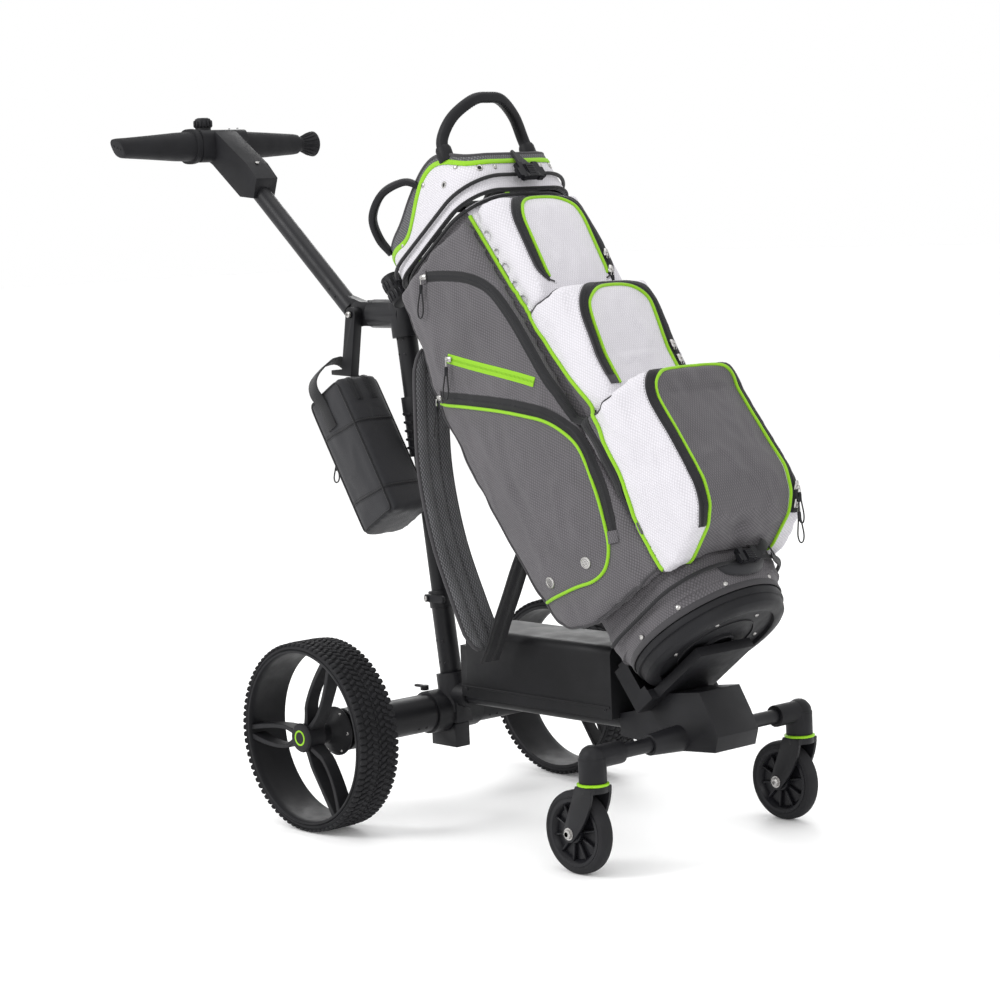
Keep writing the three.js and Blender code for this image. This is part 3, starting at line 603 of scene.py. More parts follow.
def button_head(slots=True):
    """A unit screw or rivet head: a low dome with a recess in it."""
    profile = [(0, -0.2), (1, -0.2), (1, 0.1), (0.86, 0.34), (0.5, 0.5)]
    profile += [(0.42, 0.5), (0.36, 0.18), (0, 0.18)] if slots else [(0, 0.56)]
    return lathe("button_head", profile, (0, 0, 0), (0, 0, 1), 16, 35)


PILL = pill()
SCREW = button_head()
RIVET = button_head(False)
print("repeat tree has inputs", sorted(INPUT_ID))

# %% [markdown]
# ## Drive wheels
# A drive wheel is a moulded hoop with three split spokes and a solid tyre. The hoop and the tyre
# are turned shapes. Each spoke is two curved blades, so a blade is a cross-section carried along a
# path. The tread is hundreds of small slanted blocks, which the repeat tree lays out in rows.


# %% Hoop, spokes and hub
def drive_wheel(side):
    label = "left" if side > 0 else "right"
    low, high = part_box(label + "_tyre")
    centre = (low + high) / 2
    radius, half = (high.z - low.z) / 2, (high.y - low.y) / 2
    outward = Vector((0, side, 0))
    inner = radius - 0.0173
    hoop = lathe("hoop", [
        (inner, -half + 0.002), (inner + 0.005, -half + 0.002), (inner + 0.005, half - 0.002),
        (inner + 0.0035, half - 0.0005), (inner + 0.001, half - 0.001), (inner - 0.0005, half - 0.004),
        (inner - 0.001, half - 0.012), (inner, half - 0.016), (inner, -half + 0.002),
    ], centre, outward, 128, 35)
    shells = [hoop]
    spoke_y = half - 0.020
    for turn in (math.pi, math.pi / 3, -math.pi / 3):
        for bend, offset in ((0.011, 0.0105), (-0.004, -0.0105)):
            path, normals = [], []
            for k in range(15):
                t = k / 14
                reach = 0.012 + (inner - 0.009) * t
                rise = offset * (1 - 0.35 * t) + bend * math.sin(math.pi * t) + 0.006 * t
                a = turn + rise / max(reach, 0.05)
                path.append(centre + outward * spoke_y + Vector((math.cos(a), 0, math.sin(a))) * reach)
                normals.append(Vector((-math.sin(a), 0, math.cos(a))))
            w, t = 0.0125, 0.0038
            section = [(-w, -t + 0.001), (-w + 0.001, -t), (w - 0.001, -t), (w, -t + 0.001),
                       (w, t - 0.001), (w - 0.001, t), (-w + 0.001, t), (-w, t - 0.001)]
            widths = [1.15 - 0.25 * math.sin(math.pi * k / 14) for k in range(15)]
            shells.append(sweep("blade", path, section, normals, scale=widths))
    shells.append(lathe("hub", [
        (0, half - 0.004), (0.0215, half - 0.004), (0.022, half - 0.006), (0.022, half - 0.034),
        (0.017, half - 0.040), (0.0155, half - 0.052), (0.021, half - 0.060), (0.031, half - 0.066),
        (0.038, half - 0.070), (0.0395, half - 0.072), (0.0395, half - 0.0740), (0, half - 0.0740),
    ], centre, outward, 64, 35))
    shells.append(lathe("pin", [
        (0, -half + 0.010), (0.006, -half + 0.010), (0.006, -half - 0.023), (0.0055, -half - 0.0235),
        (0, -half - 0.0235),
    ], centre, outward, 24, 35))
    body = label + "_wheel"
    piece(label + "_wheel_hoop", join_meshes("wheel", shells, 35), MOULDED_BLACK, body, [label + "_rim"])
    return centre, radius, half, outward, body, label


# %% Tyre and its tread blocks
BLOCKS_IN_ROW = 84


def tread(centre, radius, half, outward, body, label):
    base = radius - 0.0036
    tyre = lathe("tyre", [
        (radius - 0.012, -half + 0.003), (base - 0.006, -half + 0.0005), (base - 0.002, -half + 0.003),
        (base, -half + 0.009), (base + 0.0006, 0), (base, half - 0.009), (base - 0.002, half - 0.003),
        (base - 0.006, half - 0.0005), (radius - 0.012, half - 0.003), (radius - 0.012, -half + 0.003),
    ], centre, outward, 144, 30)
    piece(label + "_tyre_band", tyre, TYRE_BLACK, body, [label + "_tyre"])
    rows = [(-0.0318, 0.12, 0.0125, 0.0088), (-0.0200, 0.5, 0.0128, 0.0060), (-0.0088, -0.5, 0.0128, 0.0060),
            (0.0, 0.0, 0.0042, 0.0064), (0.0088, 0.5, 0.0128, 0.0060), (0.0200, -0.5, 0.0128, 0.0060),
            (0.0318, -0.12, 0.0125, 0.0088)]
    for index, (shift, slant, long, thick) in enumerate(rows):
        points, out, along = [], [], []
        drop = 0.0010 if abs(shift) > 0.03 else 0.0
        for k in range(BLOCKS_IN_ROW):
            a = 2 * math.pi * (k + 0.5 * (index % 2)) / BLOCKS_IN_ROW
            radial = Vector((math.cos(a), 0, math.sin(a)))
            round_way = outward.cross(radial)
            points.append(centre + outward * shift + radial * (base + 0.0011 - drop))
            out.append(radial)
            along.append(outward * math.cos(slant) + round_way * math.sin(slant))
        repeat(f"{label}_tread_{index}", points, out, along, PILL, (long, thick, 0.0046), TYRE_BLACK, body)


# %% Hub cap with a plain lime ring, and the flange screws
def hub_trim(centre, radius, half, outward, body, label):
    cap = lathe("cap", [
        (0, half - 0.0036), (0.0232, half - 0.0036), (0.0235, half - 0.0022), (0.0215, half + 0.0006),
        (0.0185, half + 0.0019), (0.0135, half + 0.0014), (0, half + 0.0017),
    ], centre, outward, 64, 30)
    piece(label + "_hub_cap_finished", cap, MOULDED_BLACK, body, [label + "_hub_cap"])
    ring = lathe("ring", [
        (0.0095, half + 0.0014), (0.0125, half + 0.0014), (0.0123, half + 0.0020), (0.0097, half + 0.0020),
        (0.0095, half + 0.0014),
    ], centre, outward, 48, 30)
    piece(label + "_cap_ring", ring, LIME_PLASTIC, body)
    points, out, along = [], [], []
    for k in range(6):
        a = 2 * math.pi * k / 6
        radial = Vector((math.cos(a), 0, math.sin(a)))
        points.append(centre + outward * (half - 0.0690) + radial * 0.033)
        out.append(outward)
        along.append(radial)
    repeat(label + "_flange_screws", points, out, along, SCREW, (0.0032, 0.0032, 0.004), STEEL, body)


for side in (1, -1):
    placed = drive_wheel(side)
    tread(*placed)
    hub_trim(*placed)
print("drive wheels done")

# %% [markdown]
# ## Casters
# Each caster is a pressed steel fork on a swivel, with a lime seal above it and a spoked wheel in
# it. The fork and the elbow keep the CAD shape and get rounded edges. The wheel is built from a
# rounded tyre, a dished web and ten ribs, and the axle ends in a bright hexagon nut.


# %% Caster wheels
def hexagon(radius, height):
    """A hexagon nut with a domed end, as a turned profile with six sides."""
    return [(0, 0), (radius, 0), (radius, height * 0.7), (radius * 0.72, height), (0, height)]


def caster(side):
    label = "left" if side > 0 else "right"
    low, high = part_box(label + "_caster_tyre")
    centre, radius, half = (low + high) / 2, (high.z - low.z) / 2, (high.y - low.y) / 2
    outward = Vector((0, side, 0))
    wheel = label + "_caster_wheel"
    tread_line = [(0.0513, -half + 0.002), (0.0545, -half + 0.0008), (radius - 0.0035, -half + 0.0024),
                  (radius - 0.001, -half + 0.0055), (radius, -half + 0.0095), (radius, half - 0.0095),
                  (radius - 0.001, half - 0.0055), (radius - 0.0035, half - 0.0024), (0.0545, half - 0.0008),
                  (0.0513, half - 0.002), (0.0513, -half + 0.002)]
    piece(label + "_caster_tyre_band", lathe("tyre", tread_line, centre, outward, 96, 28), TYRE_BLACK, wheel,
          [label + "_caster_tyre"])
    hub = lathe("hub", [
        (0.0045, -0.013), (0.011, -0.013), (0.0145, -0.0115), (0.0155, -0.004), (0.040, -0.003),
        (0.0445, -0.0105), (0.046, -0.012), (0.051, -0.012), (0.051, 0.012), (0.046, 0.012),
        (0.0445, 0.0105), (0.040, 0.003), (0.0155, 0.004), (0.0145, 0.0115), (0.011, 0.013),
        (0.0045, 0.013), (0.0045, -0.013),
    ], centre, outward, 72, 30)
    piece(label + "_caster_hub_finished", hub, GLOSS_BLACK, wheel, [label + "_caster_hub"])
    points, out, along = [], [], []
    for face in (-1, 1):
        for k in range(10):
            a = 2 * math.pi * (k + 0.3) / 10
            radial = Vector((math.cos(a), 0, math.sin(a)))
            points.append(centre + outward * (face * 0.0062) + radial * 0.0295)
            out.append(outward * face)
            along.append(radial)
    repeat(label + "_caster_ribs", points, out, along, PILL, (0.032, 0.0032, 0.007), GLOSS_BLACK, wheel)
    nuts = []
    for face in (-1, 1):
        start = centre + outward * (face * 0.0216)
        nuts.append(lathe("nut", hexagon(0.0072, 0.0054), start, outward * face, 6, 20))
        nuts.append(lathe("washer", [(0, 0), (0.0092, 0), (0.0092, 0.0009), (0, 0.0009)], start, outward * face, 40))
    piece(label + "_caster_nuts", join_meshes("nuts", nuts, 25), STEEL, label + "_caster")
    refined(label + "_caster_fork", SATIN_BLACK, 0.0009, body=label + "_caster")
    ring_low, ring_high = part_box(label + "_swivel_ring")
    ring_centre = (ring_low + ring_high) / 2
    seal = lathe("seal", [(0.0068, -0.002), (0.0225, -0.002), (0.024, -0.0012), (0.024, 0.0012),
                          (0.0225, 0.002), (0.0068, 0.002), (0.0068, -0.002)], ring_centre, (0, 0, 1), 64, 30)
    piece(label + "_swivel_seal", seal, LIME_PLASTIC, label + "_caster", [label + "_swivel_ring"])


for side in (1, -1):
    caster(side)
print("casters done")

# %% [markdown]
# ## Frame castings, tubes and case
# Castings, tubes and brackets have the right shape in CAD, so a welded copy with rounded edges is
# enough: the small radius catches the light the way a real coated edge does. Turned tubes are made
# again with more sides, because a 24-sided tube shows its corners against the light.

# %% Castings and brackets
for node in ("rear_casting", "front_casting", "post_head", "bag_hanger", "lower_post", "anti_tip_socket"):
    refined(node, SATIN_BLACK, 0.0016)
for node in ("lower_cradle", "upper_cradle", "post_clip"):
    refined(node, MOULDED_BLACK, 0.0012)
for label in ("left", "right"):
    refined(label + "_caster_elbow", MOULDED_BLACK, 0.0015)
refined("battery_case", CASE_BLACK, 0.0016)
refined("drive_release_lever", MOULDED_BLACK, 0.0008, body="drive_release")
refined("post_latch_lever", MOULDED_BLACK, 0.0008, body="post_latch")


# %% Turned tubes
def tube_along(name, node, start, end, radius, material, body=ROOT, ease=0.0008, steps=64):
    axis = (end - start).length
    profile = [(0, 0), (radius - ease, 0), (radius, ease), (radius, axis - ease), (radius - ease, axis), (0, axis)]
    return piece(name, lathe(name, profile, start, end - start, steps, 35), material, body, [node])


spine_low, spine_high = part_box("spine_tube")
spine_z = (spine_low.z + spine_high.z) / 2
tube_along("spine_tube_finished", "spine_tube", Vector((spine_low.x, 0, spine_z)),
           Vector((spine_high.x, 0, spine_z)), (spine_high.z - spine_low.z) / 2, SATIN_BLACK)
cross_low, cross_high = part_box("front_cross_tube")
cross = (cross_low + cross_high) / 2
tube_along("front_cross_tube_finished", "front_cross_tube", Vector((cross.x, cross_low.y, cross.z)),
           Vector((cross.x, cross_high.y, cross.z)), (cross_high.z - cross_low.z) / 2, SATIN_BLACK)

for side in (1, -1):
    label = "left" if side > 0 else "right"
    low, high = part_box(label + "_motor_tube")
    near, far = sorted((abs(low.y), abs(high.y)))
    axis_z = (low.z + high.z) / 2
    long = far - near
    motor = lathe("motor_tube", [
        (0, 0), (0.0302, 0), (0.031, 0.001), (0.031, long - 0.0175), (0.0325, long - 0.0165), (0.034, long - 0.0155),
        (0.034, long - 0.0012), (0.0325, long), (0.020, long), (0.019, long - 0.002), (0.0068, long - 0.002),
        (0.0068, long - 0.026), (0, long - 0.026),
    ], (AXLE_X, side * near, axis_z), (0, side, 0), 72, 32)
    piece(label + "_motor_tube_finished", motor, SATIN_BLACK, ROOT, [label + "_motor_tube"])


# %% The leaning post
POST_LEAN = math.radians(7.7)


def on_post(z):
    """A point on the post's axis at a height in millimetres."""
    return on_cart(39.2 - z * math.tan(POST_LEAN), 0, z)


post_up = (on_post(700) - on_post(200)).normalized()
post_parts = []
for z0, z1, r in ((250, 622, 14.5), (600, 792, 17.5)):
    run = (on_post(z1) - on_post(z0)).length
    post_parts.append(lathe("post", [(0, 0), (r / 1000 - 0.0008, 0), (r / 1000, 0.0008), (r / 1000, run - 0.0008),
                                     (r / 1000 - 0.0008, run), (0, run)], on_post(z0), post_up, 64, 35))
piece("upper_post_finished", join_meshes("upper_post", post_parts, 35), SATIN_BLACK, ROOT, ["upper_post"])
print("frame done")

# %% [markdown]
# ## Handle
# The bar is a moulded clamp block with a tapered grip to each side. A loft, which is a skin over a
# row of rings, gives the grips their squared-off section and slanted end. The dial is a turned
# knob with lobes round it, so a thumb can turn it in the rain.


# %% A skin over rings
def loft(name, rings, degrees=40):
    """Closed skin over rings of points, capped at both ends."""
    sides = len(rings[0])
    verts = [p for ring in rings for p in ring]
    faces = []
    for i in range(len(rings) - 1):
        for j in range(sides):
            k = (j + 1) % sides
            faces.append([i * sides + j, i * sides + k, (i + 1) * sides + k, (i + 1) * sides + j])
    faces += [list(range(sides))[::-1], [(len(rings) - 1) * sides + j for j in range(sides)]]
    return closed_mesh(name, verts, faces, degrees)


def squared_ring(centre, half_x, half_z, sides=40, power=2.6, slant=0.0):
    """A ring across the cart between a circle and a square; slant tips it along the bar."""
    ring = []
    for i in range(sides):
        a = 2 * math.pi * i / sides
        c, s = math.cos(a), math.sin(a)
        x = math.copysign(abs(c) ** (2 / power), c) * half_x
        z = math.copysign(abs(s) ** (2 / power), s) * half_z
        ring.append(centre + Vector((x, slant * z, z)))
    return ring


# %% Grips
BAR = on_cart(-563, 0, 1101)
near_rings = []
for y, rx, rz, slant in ((-49.4, 25, 25, 0), (-50, 30.5, 30, 0), (-54, 31, 31, 0), (-60, 30.6, 30.6, 0),
                         (-60.4, 27, 26, 0), (-90, 25.5, 24.8, 0), (-150, 21.5, 20.5, 0), (-196, 18.6, 17.6, 0),
                         (-206, 17.8, 17, -0.3), (-210, 16.8, 16, -0.42), (-211, 15.5, 15, -0.45)):
    near_rings.append(squared_ring(BAR + Vector((0, y / 1000, 0)), rx / 1000, rz / 1000, slant=slant))
piece("right_grip_finished", loft("right_grip", near_rings, 28), GRIP_BLACK, "handle", ["right_grip"])
dimples = [BAR + Vector((dx, -0.2112 - 0.45 * dz, dz)) for dx, dz in ((-0.007, 0.003), (0, 0), (0.007, -0.003))]
repeat("right_grip_dimples", dimples, [Vector((0, -1, -0.4)).normalized()] * 3, [Vector((1, 0, 0))] * 3,
       SCREW, (0.0022, 0.0022, 0.0016), GLOSS_BLACK, "handle")
far_rings = []
for y, rx, rz in ((49.4, 25, 24), (50, 26, 25), (110, 23, 22), (170, 19.5, 18.5), (177, 18.5, 17.5),
                  (181, 13.5, 13), (184, 12.2, 12), (192, 13, 13), (203, 17, 17), (212, 21, 21), (217.5, 22.8, 22.8),
                  (218.8, 21.5, 21.5), (218.8, 18.5, 18.5), (214, 16.5, 16.5)):
    far_rings.append(squared_ring(BAR + Vector((0, y / 1000, 0)), rx / 1000, rz / 1000,
                                  power=2.0 if y > 178 else 2.5))
piece("left_grip_finished", loft("left_grip", far_rings, 28), GRIP_BLACK, "handle", ["left_grip"])
points, out, along = [], [], []
for k in range(16):
    a = 2 * math.pi * k / 16
    radial = Vector((math.cos(a), 0, math.sin(a)))
    points.append(BAR + Vector((0, 0.201, 0)) + radial * 0.0165)
    out.append((radial - Vector((0, 0.42, 0))).normalized())
    along.append((Vector((0, 1, 0)) + radial * 0.42).normalized())
repeat("left_grip_ribs", points, out, along, PILL, (0.026, 0.0026, 0.0028), GRIP_BLACK, "handle")

# %% Clamp block, shaft and dial
refined("handlebar_clamp", MOULDED_BLACK, 0.0042, 28, body="handle")
shaft_low, shaft_high = on_cart(-203, 0, 812.7), on_cart(-512, 0, 1076.6)
shaft_way = (shaft_high - shaft_low).normalized()
long = (shaft_high - shaft_low).length
shaft = lathe("shaft", [(0, 0), (0.015, 0), (0.016, 0.001), (0.016, long), (0, long)], shaft_low, shaft_way, 64, 35)
eye = lathe("eye", [(0, -0.009), (0.019, -0.009), (0.020, -0.008), (0.020, 0.008), (0.019, 0.009), (0, 0.009)],
            on_cart(-171, 0, 806), (0, 1, 0), 48, 35)
lug = loft("lug", [[on_cart(-200 + (x + 200) * grow, y, 812 + (z - 812) * grow) for x, z in
                    ((-171, 826), (-214, 838), (-230, 820), (-206, 796), (-171, 786))]
                   for y, grow in ((-9, 0.95), (-8.2, 1), (8.2, 1), (9, 0.95))], 30)
piece("handle_shaft_finished", join_meshes("handle_shaft", [shaft, eye, lug], 35), SATIN_BLACK, "handle",
      ["handle_shaft"])
dial_low, dial_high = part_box("speed_dial")
dial_at = Vector(((dial_low.x + dial_high.x) / 2, (dial_low.y + dial_high.y) / 2, dial_low.z))
knob = lathe("dial", [(0, 0), (0.0145, 0), (0.0148, 0.001), (0.0148, 0.012), (0.0132, 0.0158), (0.009, 0.0176),
                      (0.0085, 0.0168), (0.002, 0.0168), (0, 0.0172)], dial_at, (0, 0, 1), 64, 30)
piece("speed_dial_finished", knob, MOULDED_BLACK, "dial", ["speed_dial"])
points, out, along = [], [], []
for k in range(14):
    a = 2 * math.pi * k / 14
    radial = Vector((math.cos(a), math.sin(a), 0))
    points.append(dial_at + radial * 0.0150 + Vector((0, 0, 0.0070)))
    out.append(radial)
    along.append(Vector((0, 0, 1)))
repeat("speed_dial_lobes", points, out, along, PILL, (0.012, 0.0042, 0.0036), MOULDED_BLACK, "dial")

# %% Screws on the handle, the hinge and the posts
def screws(name, spots, size, material, body=ROOT, shape=SCREW):
    """Screw or rivet heads at (point, outward) spots."""
    points = [p for p, _ in spots]
    out = [o.normalized() for _, o in spots]
    along = [frame_axes(o)[0] for o in out]
    return repeat(name, points, out, along, shape, (size, size, size), material, body)


side_out = Vector((0, -1, 0))
screws("shaft_screws", [(shaft_low + shaft_way * d + side_out * 0.016, side_out) for d in (0.035, 0.055)]
       + [(shaft_low + shaft_way * d + side_out * -0.016, -side_out) for d in (0.035, 0.055)],
       0.0026, SATIN_BLACK, "handle")
screws("neck_screw", [(on_cart(-446, 0, 1068), Vector((0.45, 0, 0.89)))], 0.0035, STEEL, "handle")
screws("clamp_pins", [(on_cart(x, y, 1131), Vector((0, 0, 1))) for x, y in ((-575, -42), (-551, 40), (-575, 40))],
       0.002, SATIN_BLACK, "handle")
screws("hinge_screw", [(on_cart(-171, -36, 806), side_out), (on_cart(-171, 20, 806), -side_out)], 0.0055, STEEL)
post_out = Vector((0, -1, 0))
post_spots = [(on_post(z) + (Vector((dx, -math.sqrt(1 - dx * dx), 0)) * r / 1000), Vector((dx, -1, 0)))
              for z, r in ((740, 17.4), (765, 17.4), (232, 17.8), (268, 17.8)) for dx in (-0.35, 0.45)]
screws("post_rivets", post_spots, 0.0022, SATIN_BLACK, shape=RIVET)
screws("latch_screw", [(on_post(340) + Vector((0, -0.0335, 0)), post_out)], 0.0042, STEEL, "post_latch")
LOW_FRONT = 0.9
across_low, down_low = math.sin(LOW_FRONT), math.cos(LOW_FRONT)
screws("axle_screws", [(on_cart(30 * across_low, y, 152.5 - 31 * down_low), Vector((across_low, 0, -down_low)))
                       for y in (-70, -86, 70, 86)], 0.003, SATIN_BLACK)
print("handle and screws done")

# %% [markdown]
# ## Bag panels as cloth
# The bag's pockets are sewn panels over foam and air. Each CAD solid is remeshed into an even net,
# its seams and its inner side are pinned, and a little pressure is let into it for twenty frames
# with no gravity. Between the seams the cloth puffs out as a full pocket does. The movement is
# capped, shallow folds are added, and one subdivision makes it smooth.

# %% Seam lines, in the bag's axes (f, y, s)
SIDE_SEAM = [(86, -101, 752), (86, -101, 732), (87, -101, 680), (88, -101, 628), (90, -101, 562), (95, -105, 496),
             (102, -106, 433), (117, -118, 344), (114, -120, 251), (92, -118, 150), (90, -116, 90)]
SIDE_ZIP = [(-26, -136, 722), (6, -138, 700), (48, -134, 662), (72, -130, 620), (80, -128, 560), (82, -130, 491),
            (84, -131, 440), (93, -127, 395), (101, -123, 345), (101, -123, 290), (97, -122, 240),
            (90, -121, 190), (86, -120, 152)]
SHORT_ZIP = [(-61, -142, 591), (-20, -143, 545), (30, -141, 490), (61, -138, 454)]
LOWER_PIPE = [(-129, -134, 553), (-74, -140, 506), (-24, -143, 462), (14, -143, 425), (46, -141, 390), (66, -138, 352),
              (72, -136, 318), (66, -137, 278), (58, -138, 238), (46, -139, 200), (33, -139, 170), (10, -139, 148),
              (-20, -140, 146), (-56, -141, 159), (-100, -140, 172), (-144, -128, 186)]
UPPER_DOME = [(119, -63, 573), (128, -63, 619), (140, -63, 664), (146, -62, 699), (148, -52, 722), (146, -30, 738),
              (145, 0, 742), (146, 30, 738), (148, 52, 722), (146, 62, 699), (140, 63, 664), (128, 63, 619),
              (119, 63, 573)]
MIDDLE_DOME = [(150, -67, 378), (152, -67, 409), (158, -67, 451), (168, -67, 489), (176, -62, 514), (178, -34, 534),
               (178, 0, 539), (178, 34, 534), (176, 62, 514), (168, 67, 489), (158, 67, 451), (152, 67, 409),
               (150, 67, 378)]
BALL_DOME = [(106, -85, 88), (161, -86, 101), (186, -87, 122), (202, -87, 152), (208, -86, 206), (211, -85, 257),
             (218, -85, 302), (226, -80, 330), (231, -45, 348), (232, 0, 353), (231, 45, 348), (226, 80, 330),
             (218, 85, 302), (211, 85, 257), (208, 86, 206), (202, 87, 152), (186, 87, 122), (161, 86, 101),
             (106, 85, 88)]


def bag_points(rows, side=-1):
    """Seam rows as points; side=1 mirrors a row drawn for the right of the bag."""
    return [on_bag(f, y if side < 0 else -y, s) for f, y, s in rows]


def bag_coordinates(p):
    """(f, y, s) of a point, in millimetres."""
    d = p - BAG_FOOT
    return d.dot(F_AXIS) * 1000, d.y * 1000, d.dot(S_AXIS) * 1000


# %% UVs whose unit is a metre
def box_uv(mesh, axes):
    """Lays each face flat along the axis it faces, so that a weave keeps its pitch."""
    count = len(mesh.loops)
    co = np.empty(len(mesh.vertices) * 3)
    mesh.vertices.foreach_get("co", co)
    co = co.reshape(-1, 3) @ np.array([list(a) for a in axes]).T
    face_of = np.repeat(np.arange(len(mesh.polygons)), [p.loop_total for p in mesh.polygons])
    vertex = np.empty(count, int)
    mesh.loops.foreach_get("vertex_index", vertex)
    normals = np.empty(len(mesh.polygons) * 3)
    mesh.polygons.foreach_get("normal", normals)
    local = np.abs(normals.reshape(-1, 3) @ np.array([list(a) for a in axes]).T)
    main = np.argmax(local, axis=1)[face_of]
    u = np.where(main == 0, 1, 0)
    v = np.where(main == 2, 1, 2)
    points = co[vertex]
    rows = np.arange(count)
    uv = np.stack([points[rows, u], points[rows, v]], axis=1)
    name = "cloth"
    layer = mesh.uv_layers.get(name) or mesh.uv_layers.new(name=name)
    layer.data.foreach_set("uv", uv.ravel())


BAG_AXES = (F_AXIS, Vector((0, 1, 0)), S_AXIS)


# %% Remesh, puff and fold
def net_of(node, voxel, rounds):
    """An even quad net over a CAD solid, with its corners softened."""
    return with_modifiers(welded_copy(node), ("REMESH", {"mode": "VOXEL", "voxel_size": voxel}),
                          ("SMOOTH", {"factor": 0.5, "iterations": rounds}))


def positions(mesh):
    co = np.empty(len(mesh.vertices) * 3)
    mesh.vertices.foreach_get("co", co)
    return co.reshape(-1, 3)


def normals_of(mesh):
    no = np.empty(len(mesh.vertices) * 3)
    mesh.vertices.foreach_get("normal", no)
    return no.reshape(-1, 3)


def puff(mesh, pinned, pressure, cap):
    """Lets pressure into a closed net; pinned is 0 to 1 for each vertex and cap is in metres."""
    start = positions(mesh)
    holder = bpy.data.objects.new("cloth_bench", mesh)
    bpy.context.scene.collection.objects.link(holder)
    group = holder.vertex_groups.new(name="held")
    for level in range(11):
        chosen = np.nonzero(np.round(pinned * 10) == level)[0]
        if level and len(chosen):
            group.add([int(i) for i in chosen], level / 10, "REPLACE")
    cloth = holder.modifiers.new("cloth", "CLOTH")
    cloth.settings.quality = 4
    cloth.settings.use_pressure = True
    cloth.settings.uniform_pressure_force = pressure
    cloth.settings.vertex_group_mass = "held"
    cloth.settings.effector_weights.gravity = 0
    cloth.point_cache.frame_start = 1
    cloth.point_cache.frame_end = 20
    scene = bpy.context.scene
    for step in range(1, 21):
        scene.frame_set(step)
    ready = holder.evaluated_get(bpy.context.evaluated_depsgraph_get())
    end = positions(ready.data)
    scene.frame_set(1)
    moved = end - start
    length = np.linalg.norm(moved, axis=1, keepdims=True)
    moved *= np.minimum(1, cap / np.maximum(length, 1e-9))
    holder.modifiers.clear()
    result = holder.data
    result.vertices.foreach_set("co", (start + moved).ravel())
    result.update()
    bpy.data.objects.remove(holder)
    print("  puffed", len(start), "points, most", round(float(np.linalg.norm(moved, axis=1).max()) * 1000, 1), "mm")
    return result


def folds(mesh, held, height, stretch, seed):
    """Shallow creases: a noise drawn out along one direction, fading to nothing at the seams."""
    co, no = positions(mesh), normals_of(mesh)
    shift = Vector((seed * 3.7, seed * 1.3, 0))
    for i, p in enumerate(co):
        f, y, s = bag_coordinates(Vector(p))
        q = Vector((f / 1000 * stretch[0], y / 1000 * stretch[1], s / 1000 * stretch[2])) + shift
        n = noise.noise(q) + 0.5 * noise.noise(q * 2.3)
        ridge = (1 - abs(n) * 2.2) if n < 0.25 else 0.2
        co[i] = p + no[i] * (height * (1 - held[i]) * ridge)
    mesh.vertices.foreach_set("co", co.ravel())
    mesh.update()


def held_near(mesh, lines, reach, inside=None):
    """1 on the seams and on the hidden inner side, fading to 0 at reach metres away."""
    co = positions(mesh)
    held = np.zeros(len(co))
    path = [p for line in lines for p in curve_through(line, 0.004)]
    tree = KDTree(max(1, len(path)))
    for i, p in enumerate(path):
        tree.insert(p, i)
    tree.balance()
    for i, p in enumerate(co):
        if path:
            held[i] = max(0.0, 1 - tree.find(Vector(p))[2] / reach)
        if inside is not None and inside(*bag_coordinates(Vector(p))):
            held[i] = 1.0
    return np.clip(held * 1.25, 0, 1)


def behind_pocket(f, y, s):
    """Points that lie against the barrel, or along the joint of the front and side panels."""
    over_f, over_y = max(0, abs(f) - 45), max(0, abs(y) - 37)
    return math.hypot(over_f, over_y) < 79.5 or abs(f - 84) < 9


def soft_pocket(node, name, seams, material, voxel=0.0055, rounds=6, pressure=4.0, cap=0.007,
                height=0.0016, stretch=(26, 20, 9), seed=1, inside=behind_pocket, axes=BAG_AXES):
    mesh = net_of(node, voxel, rounds)
    held = held_near(mesh, seams, 0.028, inside)
    mesh = puff(mesh, held, pressure, cap)
    folds(mesh, held, height, stretch, seed)
    mesh = with_modifiers(mesh, ("SUBSURF", {"levels": 1, "render_levels": 1}))
    box_uv(mesh, axes)
    smooth(mesh, 180)
    made = piece(name, mesh, material, ROOT, [node])
    return made


pockets = {}
for side, label in ((-1, "right"), (1, "left")):
    seams = [bag_points(rows, side) for rows in (SIDE_SEAM, SIDE_ZIP, LOWER_PIPE, SHORT_ZIP)]
    pockets[label + "_side"] = soft_pocket(label + "_side_pocket", label + "_side_panel", seams, GREY_CLOTH,
                                           0.006, seed=2 + side, height=0.0034)
pockets["upper"] = soft_pocket("upper_pocket", "upper_pocket_cloth", [bag_points(UPPER_DOME)], WHITE_CLOTH, seed=4,
                                height=0.0026)
pockets["middle"] = soft_pocket("middle_pocket", "middle_pocket_cloth", [bag_points(MIDDLE_DOME)], WHITE_CLOTH, seed=5,
                                 height=0.0026)
pockets["ball"] = soft_pocket("ball_pocket", "ball_pocket_cloth", [bag_points(BALL_DOME)], GREY_CLOTH, 0.006, seed=6,
                              cap=0.008, height=0.0042)
for key, pocket in pockets.items():
    print(key, "pocket:", len(pocket.data.polygons), "faces")

# %% [markdown]
# ## Barrel, collar and base
# The barrel is a stiff tube behind the pockets. The collar flares forward from it, and its rim dips
# at the back and rises at the hips. Both are walls with a thickness, so their rings run up the
# outside and down the inside. The collar's grey mesh band, lime edge and lime lining are zones of it.


